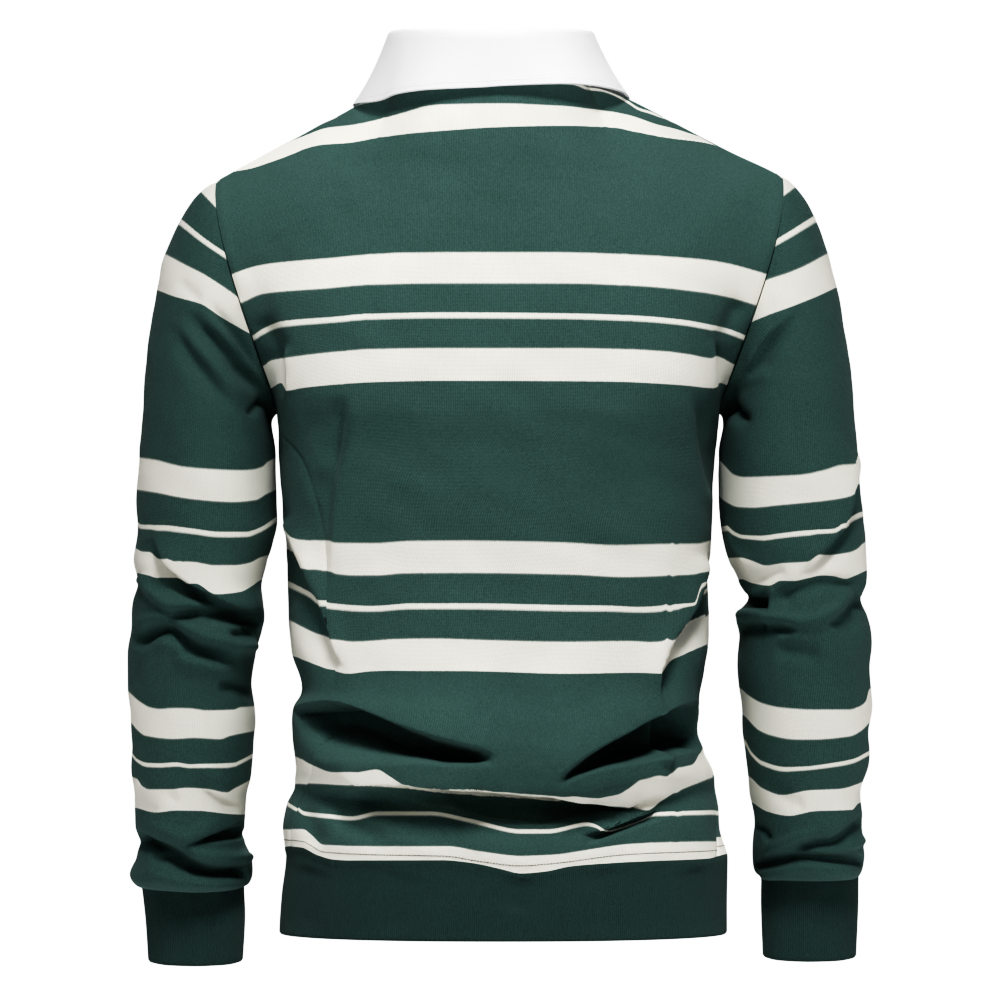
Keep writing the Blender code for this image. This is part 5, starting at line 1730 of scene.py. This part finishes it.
def line_at_height(cloth: Weave, height: float, lift: float) -> Array:
    """Return the line across a panel where the cut has that height, just off the cloth.

    Args:
        cloth: The panel.
        height: Millimetres up the cut.
        lift: How far off the cloth's face.

    Returns:
        Points at every second column.
    """
    lifted = cloth.points + cloth.normals * lift
    line, low_rows = [], 60
    for column in range(0, lifted.shape[1], 2):
        heights = cloth.cut[:low_rows, column, 1]
        row = max(int(np.argmax(heights >= height)), 1)
        share = (height - heights[row - 1]) / max(heights[row] - heights[row - 1], 1e-6)
        line.append(lifted[row - 1, column] * (1.0 - share) + lifted[row, column] * share)
    return np.array(line)


def line_in_from_edge(cloth: Weave, inset: float, lift: float) -> Array:
    """Return the line that runs beside a cloth's last row, that far in.

    Args:
        cloth: The piece.
        inset: How far in from the edge.
        lift: How far off the cloth's face.

    Returns:
        Points at every second column, but for those at the ends.
    """
    lengths = cut_lengths(cloth.points, 0)
    rows = np.argmin(np.abs(lengths[-1] - lengths - inset), axis=0)
    columns = np.arange(cloth.points.shape[1])
    keep = slice(4, -4, 2)
    return (cloth.points[rows, columns] + cloth.normals[rows, columns] * lift)[keep]


def box_in_from_edges(cloth: Weave, inset: float, lift: float) -> Array:
    """Return a closed line that runs round a strip, that far in.

    Args:
        cloth: A strip of the placket.
        inset: How far in from its edges.
        lift: How far off the cloth's face.

    Returns:
        The line's points in order.
    """
    lifted = cloth.points + cloth.normals * lift
    across = int(round(inset / (2.0 * PLACKET_HALF_WIDTH) * (cloth.points.shape[1] - 1)))
    along_rows = int(round(inset / PLACKET_LENGTH * (cloth.points.shape[0] - 1)))
    left = lifted[along_rows:-along_rows, across]
    right = lifted[along_rows:-along_rows, -1 - across]
    low = lifted[along_rows, across:-1 - across]
    high = lifted[-1 - along_rows, across:-1 - across]
    return np.vstack([left, high, right[::-1], low[::-1]])


def button_trim(name: str, centre: Array, facing: Array, materials: dict) -> bpy.types.Object:
    """Return a button's rim, dark discs of painted shade in its four holes, and the thread through them.

    Args:
        name: The piece's name.
        centre: The middle of the button's face.
        facing: The way the button faces.
        materials: The trims' materials by name.

    Returns:
        The rim, the holes' discs of painted shade and the thread as one mesh.
    """
    mesh = bmesh.new()
    rim_radius, rim_thickness, hole_place, hole_radius = 4.7, 0.55, 1.15, 0.55
    steps, sides = 36, 6
    turn = Vector((0, 0, 1)).rotation_difference(Vector(facing)).to_matrix()
    for angle in (2 * math.pi * step / steps for step in range(steps)):
        for roll in (2 * math.pi * side / sides for side in range(sides)):
            reach = rim_radius + rim_thickness * math.cos(roll)
            mesh.verts.new((reach * math.cos(angle), reach * math.sin(angle),
                            0.6 * rim_thickness * math.sin(roll)))
    mesh.verts.ensure_lookup_table()
    for step in range(steps):
        here, there = step * sides, (step + 1) % steps * sides
        for side in range(sides):
            after = (side + 1) % sides
            mesh.faces.new([mesh.verts[i] for i in (here + side, there + side, there + after, here + after)])
    rim_faces = len(mesh.faces)
    # Dark discs in the four holes: painted shade where the holes run through the button.
    for across in (-1, 1):
        for up in (-1, 1):
            made = bmesh.ops.create_cone(mesh, cap_ends=True, segments=12, radius1=hole_radius,
                                         radius2=hole_radius, depth=0.12)["verts"]
            bmesh.ops.translate(mesh, verts=made, vec=(across * hole_place, up * hole_place, 0.02))
    hole_faces = len(mesh.faces)
    for across in (-1, 1):
        made = bmesh.ops.create_uvsphere(mesh, u_segments=8, v_segments=6, radius=0.5)["verts"]
        bmesh.ops.scale(mesh, verts=made, vec=(0.7, 2.9, 0.7))
        bmesh.ops.translate(mesh, verts=made, vec=(across * hole_place, 0.0, 0.16))
    mesh.faces.ensure_lookup_table()
    for index, face in enumerate(mesh.faces):
        face.smooth = True
        face.material_index = 0 if index < rim_faces else 1 if index < hole_faces else 2
    for vertex in mesh.verts:
        vertex.co = (turn @ vertex.co + Vector(centre)) * MM
    data = bpy.data.meshes.new(name)
    mesh.to_mesh(data)
    mesh.free()
    for key in ("resin", "shade", "white_thread"):
        data.materials.append(materials[key])
    LOG.info("%s: %d faces", name, len(data.polygons))
    return placed(name, data)


# ================================================================ the studio
MIDDLE = (0.0, 0.0, -0.30)    # what the lights point at, metres
# Square area lights: place in metres, width in metres, watts.
LIGHTS = {
    "key_above": ((-0.2, 2.2, 2.8), 1.0, 73.0),
    "body_light": ((-0.2, 2.2, 2.8), 1.0, 46.0),
    "side_left": ((1.8, 1.4, 2.4), 1.2, 15.0),
    "side_right": ((-2.4, 1.4, 0.2), 1.2, 10.0),
    "front_fill": ((0.0, -3.0, 1.6), 2.0, 60.0),
}
LENS, SENSOR = 225.0, 36.0
FLOOR_HALF, FLOOR_LEVEL = 1.6, -0.95
FLOOR = Finish("#EDEDED", 0.9, 0.2, 0.0, 0.01, 0.01)


def add_light(name: str, place: tuple, size: float, power: float) -> None:
    """Add a square area light that points at the shirt's middle."""
    data = bpy.data.lights.new(name, "AREA")
    data.shape, data.size, data.energy = "SQUARE", size, power
    light = placed(name, data)
    light.location = place
    light.rotation_euler = (Vector(MIDDLE) - light.location).to_track_quat("-Z", "Y").to_euler()


def leave_out(name: str, pieces: tuple[str, ...]) -> bpy.types.Collection:
    """Return a collection that leaves some pieces out of a light, as a flag in a studio does."""
    flagged = bpy.data.collections.new(name)
    for piece in pieces:
        flagged.objects.link(bpy.data.objects[piece])
    for link in flagged.collection_objects:
        link.light_linking.link_state = "EXCLUDE"
    return flagged


def flag_lights() -> None:
    """Flag the lights off the pieces that they should leave dark, and soften the collar's shadow."""
    lights = bpy.data.objects
    body = lights["body_light"].light_linking
    body.receiver_collection = leave_out("flag_sleeves", ("left_sleeve", "right_sleeve"))
    body.blocker_collection = leave_out("flag_collar", ("collar_outer", "collar_inner"))
    flagged = leave_out("flag_back", ("back_body",))
    for name in ("front_fill", "side_right"):
        lights[name].light_linking.receiver_collection = flagged


def make_studio() -> None:
    """Add the camera, a pale floor, a white background and soft lights."""
    scene = bpy.context.scene
    camera_data = bpy.data.cameras.new("camera")
    camera_data.lens, camera_data.sensor_width = LENS, SENSOR
    camera_data.clip_end = 50.0
    camera_data.dof.use_dof = False
    scene.camera = placed("camera", camera_data)
    scene.camera.location = (0.0, EYE_BACK * MM, EYE_HEIGHT * MM)
    scene.camera.rotation_euler = (math.radians(90), 0.0, math.radians(180))

    floor_mesh = bpy.data.meshes.new("studio_floor")
    corners = [(x * FLOOR_HALF, y * FLOOR_HALF, FLOOR_LEVEL) for x, y in ((-1, -1), (1, -1), (1, 1), (-1, 1))]
    floor_mesh.from_pydata(corners, [], [(0, 1, 2, 3)])
    floor = placed("studio_floor", floor_mesh)
    floor_mesh.materials.append(plain_material("pale_floor", FLOOR, 20.0))

    scene.view_settings.view_transform = "Standard"
    scene.view_settings.use_curve_mapping = True
    mapping = scene.view_settings.curve_mapping
    for place, value in TONES:
        mapping.curves[3].points.new(place, value)
    mapping.update()
    world = bpy.data.worlds.new("white_studio")
    world.use_nodes = True
    scene.world = world
    tree = world.node_tree
    background = tree.nodes["Background"]
    ray = add(tree, "ShaderNodeLightPath")
    strength = maths(tree, "MULTIPLY_ADD", ray.outputs["Is Camera Ray"], 1.0 - AMBIENT, AMBIENT)
    background.inputs["Color"].default_value = (1.0, 1.0, 1.0, 1.0)
    tree.links.new(strength, background.inputs["Strength"])

    for name, (place, size, power) in LIGHTS.items():
        add_light(name, place, size, power)


# ================================================================ the shirt
def dress(name: str, cloth: Weave, material: bpy.types.Material, node: str) -> None:
    """Args:
        name: The piece's name.
        cloth: Its weave.
        material: What it is made of.
        node: The solid that it is seen in place of.
    """
    piece = cloth.build(name, material)
    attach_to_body(piece, BODY)
    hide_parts(node)


def attach(piece: bpy.types.Object) -> None:
    """Make a trim ride with the shirt."""
    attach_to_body(piece, BODY)


def main() -> None:
    """Dress the shirt and light it."""
    logging.basicConfig(level=logging.INFO, format="%(name)s: %(message)s", force=True)
    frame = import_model()
    LOG.info("the frame has %s", sorted(frame))
    make_studio()
    jersey, rib, twill = striped_jersey(), green_rib(), white_twill()
    trims = {"resin": plain_material("button_resin", RESIN, 2.0),
             # the dark grey of the button holes' discs is painted shade
             "shade": plain_material("button_holes_painted_shade", Finish("#3A3833", 0.8, 0.2, 0.0, 0.05, 0.01), 1.0),
             "white_thread": plain_material("white_thread", WHITE_THREAD, 0.5),
             "green_thread": plain_material("green_thread", GREEN_THREAD, 0.5)}

    torso = Torso()
    dress("back_body", torso.panels[1], jersey, "back_panel")
    dress("front_body", torso.panels[-1], jersey, "front_panel")
    for sign, side in ((1, "left"), (-1, "right")):
        sleeve = Sleeve(sign)
        dress(f"{side}_sleeve", sleeve.cloth, jersey, f"sleeve_{side}")
        dress(f"{side}_cuff", cuff(sign), rib, f"cuff_{side}")
    dress("hem", hem_band(), rib, "hem_band")
    leaf = collar_leaf()
    dress("collar_outer", leaf, twill, "collar_fall")
    dress("collar_inner", collar_stand(), twill, "collar_stand")
    placket = Placket()
    over = placket.strip(PLACKET_GAP + TWILL_WALL)
    under = placket.strip(-(JERSEY_WALL + PLACKET_GAP))
    dress("placket_over", over, twill, "placket_upper")
    dress("placket_behind", under, twill, "placket_under")

    flag_lights()
    tree = stitch_tree()
    hem_lines = [line_at_height(torso.panels[side], HEM_STITCHES_UP, 2.0 * STITCHES_OFF) for side in (1, -1)]
    attach(stitch_rows("hem_stitches", hem_lines, COVER_STITCH, trims["green_thread"], tree))
    for name, line in (("collar_stitches", line_in_from_edge(leaf, COLLAR_STITCHES_IN, STITCHES_OFF)),
                       ("placket_stitches", box_in_from_edges(over, PLACKET_STITCHES_IN, STITCHES_OFF))):
        attach(stitch_rows(name, [line], TOP_STITCH, trims["white_thread"], tree))
    for number, drop in enumerate(BUTTON_DROPS, start=1):
        centre, facing = placket.place(drop)
        face = centre + facing * (TWILL_WALL + BUTTON_FACE)
        attach(button_trim(f"button_thread_{number}", face, facing, trims))
        node = bpy.data.objects[f"button_{number}"]
        node.data.materials.clear()
        node.data.materials.append(trims["resin"])


if __name__ == "__main__":
    main()
